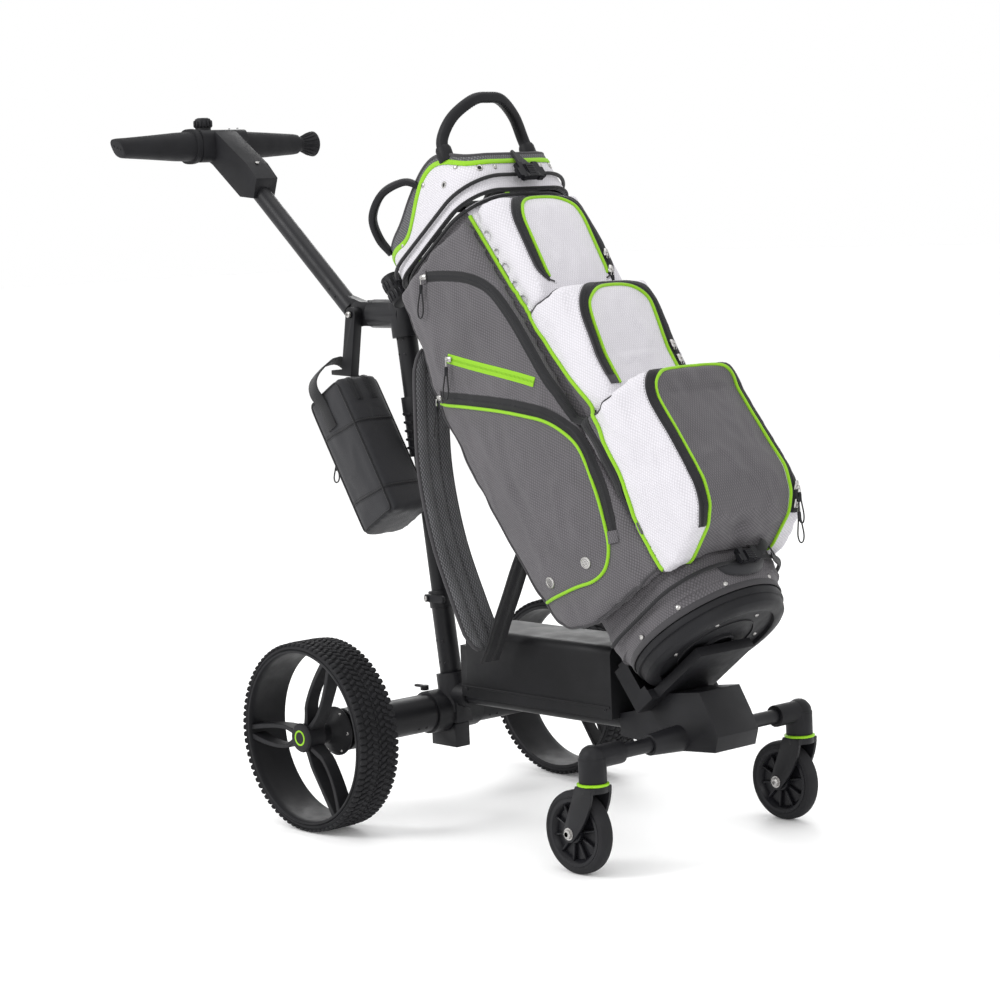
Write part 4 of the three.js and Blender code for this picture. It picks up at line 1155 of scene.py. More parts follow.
# %% Rings with rounded corners
def rounded_ring(half_f, half_y, corner, count=128):
    """Evenly spaced (f, y) points on a rounded rectangle, in millimetres."""
    corner = min(corner, half_f - 0.5, half_y - 0.5)
    straight_f, straight_y = half_f - corner, half_y - corner
    dense = []
    for quarter, (cf, cy) in enumerate(((1, 1), (-1, 1), (-1, -1), (1, -1))):
        for i in range(33):
            a = math.pi / 2 * (quarter + i / 32)
            dense.append((cf * straight_f + corner * math.cos(a), cy * straight_y + corner * math.sin(a)))
    dense.append(dense[0])
    gaps = np.cumsum([0] + [math.dist(dense[i], dense[i + 1]) for i in range(len(dense) - 1)])
    at = np.linspace(0, gaps[-1], count, endpoint=False)
    return list(zip(np.interp(at, gaps, [d[0] for d in dense]), np.interp(at, gaps, [d[1] for d in dense])))


def skin_of_rings(name, rings, degrees=60):
    """A ring-shaped wall: the last ring joins the first, so nothing is left open."""
    count = len(rings[0])
    verts = [p for ring in rings for p in ring]
    faces = []
    for i in range(len(rings)):
        n = (i + 1) % len(rings)
        for j in range(count):
            k = (j + 1) % count
            faces.append([i * count + j, i * count + k, n * count + k, n * count + j])
    return closed_mesh(name, verts, faces, degrees)


# %% A tree that finds the nearest point of some pieces
def surface_of(objects):
    verts, faces = [], []
    for o in objects:
        start = len(verts)
        verts += [v.co.copy() for v in o.data.vertices]
        faces += [[start + i for i in p.vertices] for p in o.data.polygons]
    return BVHTree.FromPolygons(verts, faces)


# %% Barrel
rings = []
for s in list(range(43, 768, 12)) + [768]:
    ring = []
    for f, y in rounded_ring(120, 112, 75):
        slack = 1.6 * noise.noise(Vector((f / 30, y / 30, s / 110))) - 0.8
        reach = 1 + slack * math.sin(math.pi * (s - 43) / 725) / 120
        ring.append(on_bag(f * reach, y * reach, s))
    rings.append(ring)
for s in list(range(768, 43, -60)) + [43]:
    rings.append([on_bag(f, y, s) for f, y in rounded_ring(116.5, 108.5, 71)])
barrel = skin_of_rings("barrel", rings)
box_uv(barrel, BAG_AXES)
barrel_piece = piece("barrel_cloth", barrel, GREY_CLOTH, ROOT, ["bag_barrel"])

# %% Collar
COLLAR_FOOT, POINTS_IN_RING = 768.5, 168
RIM = [(-170, 830), (-120, 834), (-60, 846), (-15, 868), (30, 884), (65, 883), (95, 866), (125, 838),
       (150, 826), (180, 824)]
RIM_LINE = curve_through([Vector((f, 0, s)) for f, s in RIM], 4)


def rim_height(f):
    return float(np.interp(f, [p.x for p in RIM_LINE], [p.z for p in RIM_LINE]))


def collar_place(f, y, s):
    rise = (s - 768) / 100
    return f * (1 + 0.09 * rise) + 5 * rise, y * (1 - 0.2 * rise), s


def collar_top(f, y):
    s = 850.0
    for _ in range(4):
        s = rim_height(collar_place(f, y, s)[0])
    return s


def band_depth(f, y):
    """Millimetres of grey mesh band under the rim: deep at the hips, narrow in front."""
    return 12 + 24 * math.exp(-((f + 40) / 40) ** 2) * min(1, abs(y) / 60)


def collar_ring(inset, share=None, under=0.0, over=0.0):
    """A ring of the collar: a share of the way from foot to band, or so far under the rim."""
    ring = []
    for f, y in rounded_ring(128 - inset, 118 - inset, 62 - inset, POINTS_IN_RING):
        top = collar_top(f, y) + over
        low = top - band_depth(f, y)
        s = top - under * band_depth(f, y) if share is None else COLLAR_FOOT + (low - COLLAR_FOOT) * share
        ring.append(on_bag(*collar_place(f, y, s)))
    return ring


outer = [collar_ring(0, t) for t in np.linspace(0, 1, 28)] + [collar_ring(0, under=t) for t in (0.75, 0.5, 0.25, 0.02)]
rolled = [collar_ring(1.2), collar_ring(3, over=0.6), collar_ring(4.8)]
inner = [collar_ring(6, under=t) for t in (0.02, 0.4, 0.9)] + [collar_ring(6, t) for t in (0.9, 0.75, 0.5, 0.25, 0)]
collar = skin_of_rings("collar", outer + rolled + inner)
box_uv(collar, BAG_AXES)
collar_piece = piece("collar_cloth", collar, WHITE_CLOTH, ROOT, ["bag_collar"])
for finish in (MESH_CLOTH, LIME_CLOTH, DARK_NYLON):
    collar.materials.append(finish)
for n, polygon in enumerate(collar.polygons):
    row = n // POINTS_IN_RING
    polygon.material_index = 0 if row < 27 else 1 if row < 34 else 2 if row < 38 else 3
print("collar rings:", len(outer) + len(rolled) + len(inner))

# %% Lime edge under the mesh band, rim binding and foot piping
edge_path = collar_ring(-0.2, 1)
edge_out = [(p - on_bag(8, 0, bag_coordinates(p)[2])).normalized() for p in edge_path]
piece("collar_lime_edge", sweep("collar_lime_edge", edge_path, flat_section(0.0085, 0.0020, 0.5), edge_out,
                                closed=True), LIME_CLOTH)
rim_path = collar_ring(3, over=0.4)
piece("collar_rim_binding", sweep("collar_rim_binding", rim_path, round_section(0.0038, 10), closed=True,
                                  normals=[S_AXIS] * len(rim_path)), GREY_BINDING)
foot_path = collar_ring(-0.6, 0.02)
piece("collar_foot_piping", sweep("collar_foot_piping", foot_path, round_section(0.0022, 8), closed=True,
                                  normals=[S_AXIS] * len(foot_path)), BLACK_TAPE)
COLLAR_SKIN = surface_of([collar_piece])

# %% Divider in the mouth
refined("top_divider", DARK_NYLON, 0.0015, 40)
box_uv(bpy.data.objects["top_divider_finished"].data, BAG_AXES)

# %% Base: twill band over a moulded foot
base = lathe("base", [(0, -0.002), (0.0235, -0.002), (0.024, -0.0062), (0.0255, -0.0068), (0.029, -0.0062),
                      (0.0295, -0.002), (0.062, -0.002), (0.0625, -0.0038), (0.065, -0.0038), (0.0655, -0.002),
                      (0.095, -0.002), (0.0962, -0.0072), (0.099, -0.008), (0.104, -0.0078), (0.112, -0.0058),
                      (0.1165, -0.002), (0.1185, 0.004), (0.119, 0.010), (0.1225, 0.0112), (0.123, 0.014),
                      (0.1226, 0.0205), (0.1212, 0.022), (0.1205, 0.034), (0.1175, 0.041), (0, 0.041)],
             on_bag(0, 0, 0), S_AXIS, 96, 28)
piece("base_foot", base, MOULDED_BLACK, ROOT, ["bag_base"])
band_rings = []
for s, circle, grow in ((24.5, 1, 1.6), (26, 1, 2.6), (34, 0.86, 2.8), (44, 0.5, 2.6), (54, 0.2, 2.8),
                        (64, 0, 2.8), (74, 0, 2.6), (82, 0, 2.0), (83.5, 0, 0.8)):
    ring = []
    for f, y in rounded_ring(120, 112, 75):
        r = math.hypot(f, y)
        reach = (circle * 121.5 + (1 - circle) * r + grow) / r
        ring.append(on_bag(f * reach, y * reach, s))
    band_rings.append(ring)
for s in (80, 60, 43, 41, 28):
    ring = []
    for f, y in rounded_ring(120, 112, 75):
        r = math.hypot(f, y)
        ring.append(on_bag(f * (r + 0.4) / r, y * (r + 0.4) / r, s) if s > 42 else
                    on_bag(f / r * 120.6, y / r * 120.6, s))
    band_rings.append(ring)
band = skin_of_rings("base_band", band_rings)
box_uv(band, BAG_AXES)
piece("base_band", band, GREY_CLOTH)
hem = [on_bag(123.6 * math.cos(a), 123.6 * math.sin(a), 27) for a in np.linspace(0, 2 * math.pi, 128, endpoint=False)]
hem_out = [(p - on_bag(0, 0, 27)).normalized() for p in hem]
piece("base_binding", sweep("base_binding", hem, flat_section(0.010, 0.0018, 0.5), hem_out, closed=True), GREY_BINDING)
spots = []
for a in (-22, -58, -94, 22, 58, 94, 160, -160):
    out = F_AXIS * math.cos(math.radians(a)) + Vector((0, math.sin(math.radians(a)), 0))
    spots.append((on_bag(0, 0, 36) + out * 0.1252, out))
screws("base_rivets", spots, 0.0042, STEEL, shape=RIVET)
spots = [(on_bag(78 * math.cos(a), 78 * math.sin(a), -2), -S_AXIS) for a in np.linspace(0.4, 2 * math.pi + 0.4, 6,
                                                                                          endpoint=False)]
screws("base_screws", spots, 0.0036, STEEL)
print("barrel, collar and base done")

# %% [markdown]
# ## Panels of two colours
# White gussets meet grey panels along the lime seams. Each face of a pocket, and of the barrel
# beside it, takes its cloth from where it lies. The stepped edge between the two colours hides
# under the piping on top of it.


# %% Which cloth a face is cut from
def across(rows, key, value):
    """Reads one column of a seam against another."""
    rows = sorted(rows, key=lambda row: row[key[0]])
    return float(np.interp(value, [row[key[0]] for row in rows], [row[key[1]] for row in rows]))


BALL_FRONT = [(f, y, s) for f, y, s in BALL_DOME if y < -79]


def behind_seam(f, s):
    return f < across(SIDE_SEAM, (2, 0), s)


def in_ball_panel(f, y, s):
    return abs(y) < 85 and f > across(BALL_FRONT, (2, 0), s) - 7 and s < 352


def recut(mesh, cloth, picks):
    """Gives a second cloth to the faces that a rule in (f, y, s) picks; returns how many."""
    mesh.materials.append(cloth)
    for polygon in mesh.polygons:
        polygon.material_index = int(picks(*bag_coordinates(polygon.center)))
    return sum(p.material_index for p in mesh.polygons)


UPPER_POCKET_FOOT = 548
white = recut(pockets["ball"].data, WHITE_CLOTH,
              lambda f, y, s: not (behind_seam(f, s) or in_ball_panel(f, y, s)))
recut(pockets["middle"].data, GREY_CLOTH, lambda f, y, s: behind_seam(f, s) and s < UPPER_POCKET_FOOT)
recut(barrel_piece.data, WHITE_CLOTH, lambda f, y, s: s > UPPER_POCKET_FOOT and not behind_seam(f, s))
print("white faces on the ball pocket:", white)

# %% [markdown]
# ## Piping, zips and stitches
# Trims lie on the cloth, so their rough routes are moved to the nearest point of the puffed
# surface. A swept section then makes piping, zip tape or binding, and the repeat tree sets teeth
# and stitches along the same route.

# %% Finding the cloth under a trim
soft_pieces = list(pockets.values()) + [barrel_piece, collar_piece, bpy.data.objects["base_band"]]


BAG_SKIN = surface_of(soft_pieces)


def laid_on(route, skin, lift=0.0, rounds=3, closed=False):
    """Moves a route onto a surface, then evens out its points and the way they face."""
    found = [skin.find_nearest(p) for p in route]
    spots = [h[0] for h in found]
    ways = [h[1] for h in found]
    for _ in range(rounds):
        inner = range(len(spots)) if closed else range(1, len(spots) - 1)
        spots = [(spots[i - 1] + spots[i] * 2 + spots[(i + 1) % len(spots)]) / 4 if i in inner else spots[i]
                 for i in range(len(spots))]
        ways = [(ways[i - 1] + ways[i] * 2 + ways[(i + 1) % len(ways)]).normalized() if i in inner else ways[i]
                for i in range(len(ways))]
    spots = [skin.find_nearest(p)[0] for p in spots]
    return [p + w * lift for p, w in zip(spots, ways)], ways


def piping(name, rows, side=-1, material=LIME_CLOTH, radius=0.0027, skin=BAG_SKIN):
    path, ways = laid_on(curve_through(bag_points(rows, side), 0.005), skin, radius * 0.35)
    return piece(name, sweep(name, path, round_section(radius, 10), ways), material)


def route_of(rows, side=-1, skin=BAG_SKIN):
    return laid_on(curve_through(bag_points(rows, side), 0.005), skin, 0.0004)


def along_route(path, ways, pitch, shift=0.0):
    """Evenly spaced places on a route with the way out and the way along at each."""
    runs = np.cumsum([0] + [(path[i + 1] - path[i]).length for i in range(len(path) - 1)])
    points, out, along = [], [], []
    for d in np.arange(pitch, runs[-1], pitch):
        i = min(int(np.searchsorted(runs, d)) - 1, len(path) - 2)
        t = (d - runs[i]) / max(runs[i + 1] - runs[i], 1e-9)
        way = (path[i + 1] - path[i]).normalized()
        up = ways[i].lerp(ways[i + 1], t).normalized()
        points.append(path[i].lerp(path[i + 1], t) + way.cross(up).normalized() * shift)
        out.append(up)
        along.append(way)
    return points, out, along


def stitches(name, path, ways, shifts, skin=BAG_SKIN, material=THREAD, pitch=0.0042):
    """Rows of thread beside a route, each laid back on the cloth."""
    points, out, along = [], [], []
    for shift in shifts:
        for p, o, a in zip(*along_route(path, ways, pitch, shift)):
            spot, way, _, _ = skin.find_nearest(p)
            points.append(spot - way * 0.0002)
            out.append(way)
            along.append(a)
    return repeat(name, points, out, along, PILL, (0.0027, 0.0009, 0.0010), material)


def zip_band(name, route, width=0.016, tape=BLACK_TAPE, coil=GLOSS_BLACK, skin=BAG_SKIN, sewn=True):
    """Tape on the cloth, a raised coil down its middle and a row of thread on each side."""
    path, ways = route
    half = width / 2
    section = [(-half, -0.0006), (half, -0.0006), (half, 0.0006), (half * 0.4, 0.0012), (0.0028, 0.0018),
               (-0.0028, 0.0018), (-half * 0.4, 0.0012), (-half, 0.0006)]
    piece(name + "_tape", sweep(name + "_tape", path, section, ways), tape)
    points, out, along = along_route(path, ways, 0.0026)
    repeat(name + "_teeth", [p + o * 0.0012 for p, o in zip(points, out)], out, along, PILL,
           (0.0016, 0.0052, 0.0014), coil)
    if sewn:
        stitches(name + "_thread", path, ways, (-half - 0.002, half + 0.002), skin)
    return path, ways


# %% Lime piping and zips on the side panels
zips = {}
for side, label in ((-1, "right"), (1, "left")):
    piping(label + "_side_piping", SIDE_SEAM, side, radius=0.0032)
    piping(label + "_lower_piping", LOWER_PIPE, side)
    zips[label + "_long"] = zip_band(label + "_long_zip", route_of(SIDE_ZIP, side))
    zips[label + "_short"] = zip_band(label + "_short_zip", route_of(SHORT_ZIP, side), 0.015, LIME_CLOTH, LIME_COIL)
    outer_rows = [(f + 8, y, s + 9) for f, y, s in LOWER_PIPE[:4]]
    outer_rows += [(f + 11, y, s + 4) for f, y, s in LOWER_PIPE[4:6]]
    outer_rows += [(f + 11.5, y, s) for f, y, s in LOWER_PIPE[6:11]]
    zips[label + "_lower"] = zip_band(label + "_lower_zip", route_of(outer_rows, side), 0.018)

# %% Grey patches over the ends of the long tapes
for side_label in ("right", "left"):
    for key in ("long", "lower"):
        path, ways = zips[f"{side_label}_{key}"]
        for n, part in enumerate((slice(0, 3), slice(-5, None))):
            name = f"{side_label}_{key}_patch_{n}"
            piece(name, sweep(name, path[part], flat_section(0.020, 0.0024), ways[part]), GREY_CLOTH)


# %% Domed fronts of the three pockets
def beside(route, shift, skin=BAG_SKIN):
    """A route moved sideways along the cloth; it gives points and the way out at each."""
    path, ways = route
    moved = []
    for i, p in enumerate(path):
        along = (path[min(i + 1, len(path) - 1)] - path[max(i - 1, 0)]).normalized()
        moved.append(p + along.cross(ways[i]).normalized() * shift)
    return laid_on(moved, skin, 0.0004, 5)


for key, rows in (("upper", UPPER_DOME), ("middle", MIDDLE_DOME), ("ball", BALL_DOME)):
    piping(key + "_dome_piping", rows)
    route = laid_on(curve_through(bag_points(rows), 0.005), BAG_SKIN)
    middle = len(route[0]) // 2
    test = beside((route[0][middle - 1:middle + 2], route[1][middle - 1:middle + 2]), 0.01)[0][1]
    outward = 1 if test.dot(S_AXIS) > route[0][middle].dot(S_AXIS) else -1
    first = 3 if key != "ball" else 14
    inner = (route[0][first:-first], route[1][first:-first])
    zips[key] = zip_band(key + "_dome_zip", beside(inner, outward * 0.0105), width=0.014, sewn=False)
    edge, edge_ways = beside(inner, outward * 0.0185)
    piece(key + "_dome_binding", sweep(key + "_dome_binding", edge, round_section(0.0014, 8), edge_ways),
          GREY_BINDING)
    stitches(key + "_dome_thread", edge, edge_ways, (outward * 0.003,))
    for end, place in (("near", 0), ("far", -1)):
        part = slice(0, first + 1) if end == "near" else slice(-first - 1, None)
        patch, patch_ways = beside((route[0][part], route[1][part]), outward * 0.0105)
        if key != "ball":
            piece(f"{key}_{end}_patch", sweep(f"{key}_{end}_patch", patch, flat_section(0.017, 0.0014), patch_ways),
                  GREY_BINDING)

# %% Dark seams where one pocket tops another, and at the foot of the panels
for name, rows in (("middle_top_seam", [(100, -100, 556), (140, -92, 557), (150, -70, 558), (152, 0, 559),
                                        (150, 70, 558), (140, 92, 557), (100, 100, 556)]),
                   ("ball_top_seam", [(118, -118, 351), (150, -110, 352), (168, -90, 353), (172, 0, 354),
                                      (168, 90, 353), (150, 110, 352), (118, 118, 351)])):
    piping(name, rows, material=GREY_BINDING, radius=0.0016)
for side, label in ((-1, "right"), (1, "left")):
    rows = [(-100, -137, 720), (-118, -137, 640), (-150, -138, 540), (-166, -137, 440), (-168, -136, 300),
            (-163, -136, 205), (-136, -136, 146), (-74, -136, 108), (30, -130, 98), (80, -122, 96)]
    piping(label + "_rear_binding", rows, side, GREY_BINDING, 0.0022)

# %% [markdown]
# ## Zip pulls, vents, rivets and eyelets
# Each zip ends in a slider with a steel bail and a looped cord that hangs straight down. The
# collar is riveted, the side panels have round metal vents, and small rings line the holes.


# %% A slider, its bail and its looped pull
def zip_pull(name, spot, out, along, length=0.052):
    across = along.cross(out).normalized()
    slider_rings = []
    for d, half, height in ((-0.0065, 0.0032, 0.0034), (-0.002, 0.0042, 0.0048), (0.004, 0.0048, 0.0044),
                            (0.0068, 0.0036, 0.003)):
        centre = spot + along * d + out * 0.0018
        slider_rings.append([centre + across * (half * math.cos(a)) + out * (height / 2 * math.sin(a) + height / 2)
                             for a in np.linspace(0, 2 * math.pi, 12, endpoint=False)])
    piece(name + "_slider", loft(name + "_slider", slider_rings, 40), STEEL)
    top = spot + out * 0.0068
    hang = (Vector((0, 0, -1)) + out * 0.08).normalized()
    bail = [top + across * 0.002 + out * -0.002, top + out * 0.0022 + hang * 0.002, top + hang * 0.010 + out * 0.001
            + across * 0.0024, top + hang * 0.014 + out * 0.001, top + hang * 0.010 + out * 0.001 - across * 0.0024,
            top + out * 0.0012 + hang * 0.002 - across * 0.001]
    piece(name + "_bail", sweep(name + "_bail", curve_through(bail, 0.002, True), round_section(0.0008, 8),
                                closed=True), STEEL)
    start = top + hang * 0.012 + out * 0.001
    side = hang.cross(out).normalized()
    cord = [start, start + hang * length * 0.35 + side * 0.0035, start + hang * length * 0.75 + side * 0.0062,
            start + hang * length * 0.97 + side * 0.003, start + hang * length * 0.97 - side * 0.003,
            start + hang * length * 0.75 - side * 0.0062, start + hang * length * 0.35 - side * 0.0035]
    piece(name + "_cord", sweep(name + "_cord", curve_through(cord, 0.003, True), round_section(0.0012, 8),
                                closed=True), CORD_BLACK)
    sleeve = [(0, 0), (0.0026, 0.0006), (0.003, 0.004), (0.0028, 0.013), (0.0022, 0.015), (0, 0.0152)]
    piece(name + "_sleeve", lathe(name + "_sleeve", sleeve, start - hang * 0.001, hang, 14, 40), GLOSS_BLACK)


for key, (path, ways) in zips.items():
    if key.endswith(("long", "short", "lower")):
        i = 1
        zip_pull(key + "_pull", path[i], ways[i], (path[i + 1] - path[i]).normalized())
    else:
        i = len(path) - 4
        zip_pull(key + "_far_pull", path[i], ways[i], (path[i] - path[i - 1]).normalized(), 0.046)
        zip_pull(key + "_far_pull_two", path[i - 5], ways[i - 5], (path[i] - path[i - 1]).normalized(), 0.046)


# %% Vents in the side panels
def ring_fitting(name, spot, out, radius, bore, height, centre=None):
    """A pressed metal ring with a rolled lip; centre is the finish of the disc inside it."""
    profile = [(bore, 0), (bore, height * 0.5), (bore + (radius - bore) * 0.25, height),
               (radius - (radius - bore) * 0.3, height * 0.9), (radius, height * 0.3), (radius, -0.001),
               (bore, -0.001), (bore, 0)]
    piece(name, lathe(name, profile, spot, out, 32, 40), STEEL)
    if centre:
        disc = [(0, -0.001), (bore * 1.01, -0.001), (bore * 1.01, height * 0.35), (0, height * 0.35)]
        piece(name + "_disc", lathe(name + "_disc", disc, spot, out, 24, 40), centre)


for side, label in ((-1, "right"), (1, "left")):
    for n, (f, s) in enumerate(((-101, 196), (-16, 175))):
        spot, out, _, _ = BAG_SKIN.find_nearest(on_bag(f, 150 * side, s))
        ring_fitting(f"{label}_vent_{n}", spot, out, 0.0095, 0.0072, 0.0016, STEEL)
        first, second = frame_axes(out)
        holes = [spot + (first * math.cos(a) + second * math.sin(a)) * r + out * 0.0004
                 for r, k in ((0, 1), (0.0026, 6), (0.0052, 12))
                 for a in np.linspace(0, 2 * math.pi, k, endpoint=False)]
        repeat(f"{label}_vent_{n}_holes", holes, [out] * len(holes), [first] * len(holes), RIVET,
               (0.0008, 0.0008, 0.0008), BLACK_TAPE)

# %% Rivets and eyelets of the collar
rivets = []
for side in (-1, 1):
    for f, s in ((28, 866), (113, 837), (-63, 816), (-104, 800)):
        spot, out, _, _ = COLLAR_SKIN.find_nearest(on_bag(f, 112 * side, s))
        rivets.append((spot, out))
    for n, (f, y, s) in enumerate(((75, 112, 826), (128, 74, 812))):
        spot, out, _, _ = COLLAR_SKIN.find_nearest(on_bag(f, y * side, s))
        ring_fitting(f"{'right' if side < 0 else 'left'}_eyelet_{n}", spot, out, 0.0058, 0.003, 0.0016, BLACK_TAPE)
for y in (-48, 48):
    spot, out, _, _ = COLLAR_SKIN.find_nearest(on_bag(150, y, 806))
    rivets.append((spot, out))
screws("collar_rivets", rivets, 0.0042, STEEL, shape=RIVET)

# %% [markdown]
# ## Lift handles
# The handles are stiff moulded bars. The front one is a tube with ribs for the fingers on its
# inner side, and clips at its ends. The side ones are flatter and taper to their ends.

# %% Front handle
arch = [on_bag(f, y, s) for f, y, s in ((92, -89, 862), (100, -86, 892), (124, -66, 918), (148, -30, 933),
                                        (152, 0, 935), (148, 30, 933), (124, 66, 918), (100, 86, 892),
                                        (92, 89, 862))]
arch_path = curve_through(arch, 0.004)
arch_centre = sum(arch, Vector()) / len(arch) - S_AXIS * 0.01
arch_out = [(p - arch_centre).normalized() for p in arch_path]
oval = [(0.0092 * math.copysign(abs(math.cos(a)) ** 0.8, math.cos(a)), 0.0088 * math.copysign(abs(math.sin(a)) ** 0.8,
        math.sin(a))) for a in np.linspace(0, 2 * math.pi, 20, endpoint=False)]
piece("front_handle_bar", sweep("front_handle_bar", arch_path, oval, arch_out), MOULDED_BLACK, ROOT, ["front_handle"])
points, out, along = along_route(arch_path, arch_out, 0.0052)
inside = range(6, len(points) - 6)
repeat("front_handle_ribs", [points[i] - out[i] * 0.0072 for i in inside], [-out[i] for i in inside],
       [along[i] for i in inside], PILL, (0.0026, 0.0125, 0.0034), GLOSS_BLACK)
for end, path_end in (("right", 0), ("left", -1)):
    foot = arch_path[path_end]
    way = (arch_path[5 if path_end == 0 else -6] - foot).normalized()
    cuff = lathe("cuff", [(0, -0.006), (0.0118, -0.006), (0.0128, -0.004), (0.0128, 0.016), (0.0112, 0.020),
                          (0, 0.020)], foot, way, 28, 35)
    piece(end + "_front_handle_cuff", cuff, MOULDED_BLACK)

# %% Side handles
for side, label in ((-1, "right"), (1, "left")):
    bar = [on_bag(f, y * side, s) for f, y, s in ((14, 90, 872), (2, 104, 890), (-35, 120, 898), (-78, 120, 886),
                                                  (-104, 104, 862), (-108, 92, 832))]
    bar_path = curve_through(bar, 0.004)
    bar_mid = sum(bar, Vector()) / len(bar)
    bar_out = [(p - bar_mid).normalized() for p in bar_path]
    flat = [(0.0098 * math.copysign(abs(math.cos(a)) ** 0.6, math.cos(a)),
             0.0062 * math.copysign(abs(math.sin(a)) ** 0.7, math.sin(a)))
            for a in np.linspace(0, 2 * math.pi, 20, endpoint=False)]
    taper = [0.72 + 0.32 * math.sin(math.pi * i / (len(bar_path) - 1)) for i in range(len(bar_path))]
    piece(label + "_side_handle_bar", sweep(label + "_side_handle_bar", bar_path, flat, bar_out, scale=taper),
          MOULDED_BLACK, ROOT, [label + "_side_handle"])
print("handles done")

# %% [markdown]
# ## Cords and buckles
# Two elastic cords hold the bag's collar to the post, and one holds its foot. They meet in quick
# buckles at the front. A cord's path is the same rounded ring as the wall under it, a little wider.


# %% Elastic cords
def girdle(node, half_f, half_y, corner, s, from_f, radius):
    """A round cord from hip to hip round the front of the bag, from_f millimetres back."""
    ring = rounded_ring(half_f, half_y, corner, 200)
    ring = sorted((p for p in ring if p[0] > from_f), key=lambda p: math.atan2(p[1], p[0]))
    path = [on_bag(f, y, s) for f, y in ring]
    ways = [(F_AXIS * f + Vector((0, y, 0))).normalized() for f, y in ring]
    piece(node + "_braid", sweep(node + "_braid", path, round_section(radius, 12), ways), CORD_BLACK, ROOT, [node])


girdle("upper_cord", 138, 119, 70, 790, -120, 0.0031)
girdle("upper_cord_low", 126, 118, 80, 760, -112, 0.0026)
girdle("base_cord", 130, 122, 84, 62, -80, 0.0031)


# %% Buckles
def block(centre, size, axes, ease=0.0015):
    """A block with rounded edges in the given axes."""
    work = bmesh.new()
    bmesh.ops.create_cube(work, size=1)
    for v in work.verts:
        v.co = centre + axes[0] * (v.co.x * size[0]) + axes[1] * (v.co.y * size[1]) + axes[2] * (v.co.z * size[2])
    bmesh.ops.bevel(work, geom=list(work.edges), offset=ease, segments=2, affect="EDGES")
    bmesh.ops.recalc_face_normals(work, faces=work.faces)
    mesh = bpy.data.meshes.new("block")
    work.to_mesh(mesh)
    work.free()
    return mesh


def buckle(name, node, f, s, half_y, tall):
    """A side-release buckle: body, waist, two prongs and ribs for the thumb."""
    parts = [block(on_bag(f + 6, 0, s), (0.013, 0.020, tall * 0.62), BAG_AXES),
             block(on_bag(f + 5, -half_y * 0.62, s + 2), (0.010, 0.013, tall * 0.8), BAG_AXES),
             block(on_bag(f + 5, half_y * 0.62, s + 2), (0.010, 0.013, tall * 0.8), BAG_AXES),
             block(on_bag(f + 1.5, 0, s), (0.006, half_y * 0.0018, tall * 0.4), BAG_AXES),
             block(on_bag(f + 7.5, -half_y * 0.36, s + 3), (0.007, 0.005, tall * 0.5), BAG_AXES, 0.001),
             block(on_bag(f + 7.5, half_y * 0.36, s + 3), (0.007, 0.005, tall * 0.5), BAG_AXES, 0.001),
             block(on_bag(f + 6, -half_y * 0.92, s - 2), (0.008, 0.009, tall * 0.45), BAG_AXES),
             block(on_bag(f + 6, half_y * 0.92, s - 2), (0.008, 0.009, tall * 0.45), BAG_AXES)]
    piece(name, join_meshes(name, parts, 35), GLOSS_BLACK, ROOT, [node])
    points = [on_bag(f + 12.5, 0, s + d) for d in (-7, -3.5, 0, 3.5, 7)]
    repeat(name + "_ribs", points, [F_AXIS] * 5, [Vector((0, 1, 0))] * 5, PILL, (0.014, 0.0016, 0.0018), GLOSS_BLACK)


buckle("collar_clasp", "collar_buckle", 145, 784, 26, 0.040)
buckle("base_clasp", "base_buckle", 136, 62, 22, 0.030)
TAB_SECTION = ((0, -15), (0, 15), (3.4, 13), (3.4, -13))
tab = loft("collar_tab", [[on_bag(154 - 0.25 * (s - 772) + d, y * w, s) for d, y in TAB_SECTION]
                          for s, w in ((772, 1.0), (790, 0.95), (815, 0.55), (836, 0.12))], 30)
box_uv(tab, BAG_AXES)
piece("collar_tab", tab, BLACK_TAPE)
tail = [on_bag(f, y, s) for f, y, s in ((139, 24, 66), (142, 40, 74), (134, 58, 84), (122, 74, 80), (118, 80, 62),
                                        (124, 70, 54), (134, 54, 58))]
tail_path = curve_through(tail, 0.004)
piece("base_webbing_tail", sweep("base_webbing_tail", tail_path, flat_section(0.015, 0.0016),
                                 [(p - on_bag(0, 0, 68)).normalized() for p in tail_path]), BLACK_TAPE)
flap_rings = []
for y in np.linspace(-52, 48, 21):
    t = (y + 2) / 50
    reach = math.sqrt(max(0.02, 1 - t * t))
    base_f = 129 - 12 * t * t
    ring = [on_bag(base_f + d + 6 * math.sin(math.pi * k), y, 66 - 27 * reach * k) for d, k in
            ((0, 0), (0.2, 0.35), (0.2, 0.7), (-1, 1), (0.8, 1), (2.2, 0.7), (2.2, 0.35), (1.6, 0))]
    flap_rings.append(ring)
flap = loft("base_flap", flap_rings, 60)
box_uv(flap, BAG_AXES)
piece("base_flap", flap, DARK_NYLON)
print("cords and buckles done")

# %% [markdown]
# ## Shoulder strap
# The strap is a long pad of spacer mesh, sewn in three channels and bound along both edges. Its
# section has a crown for each channel, and a webbing tail runs from its foot to the bag.

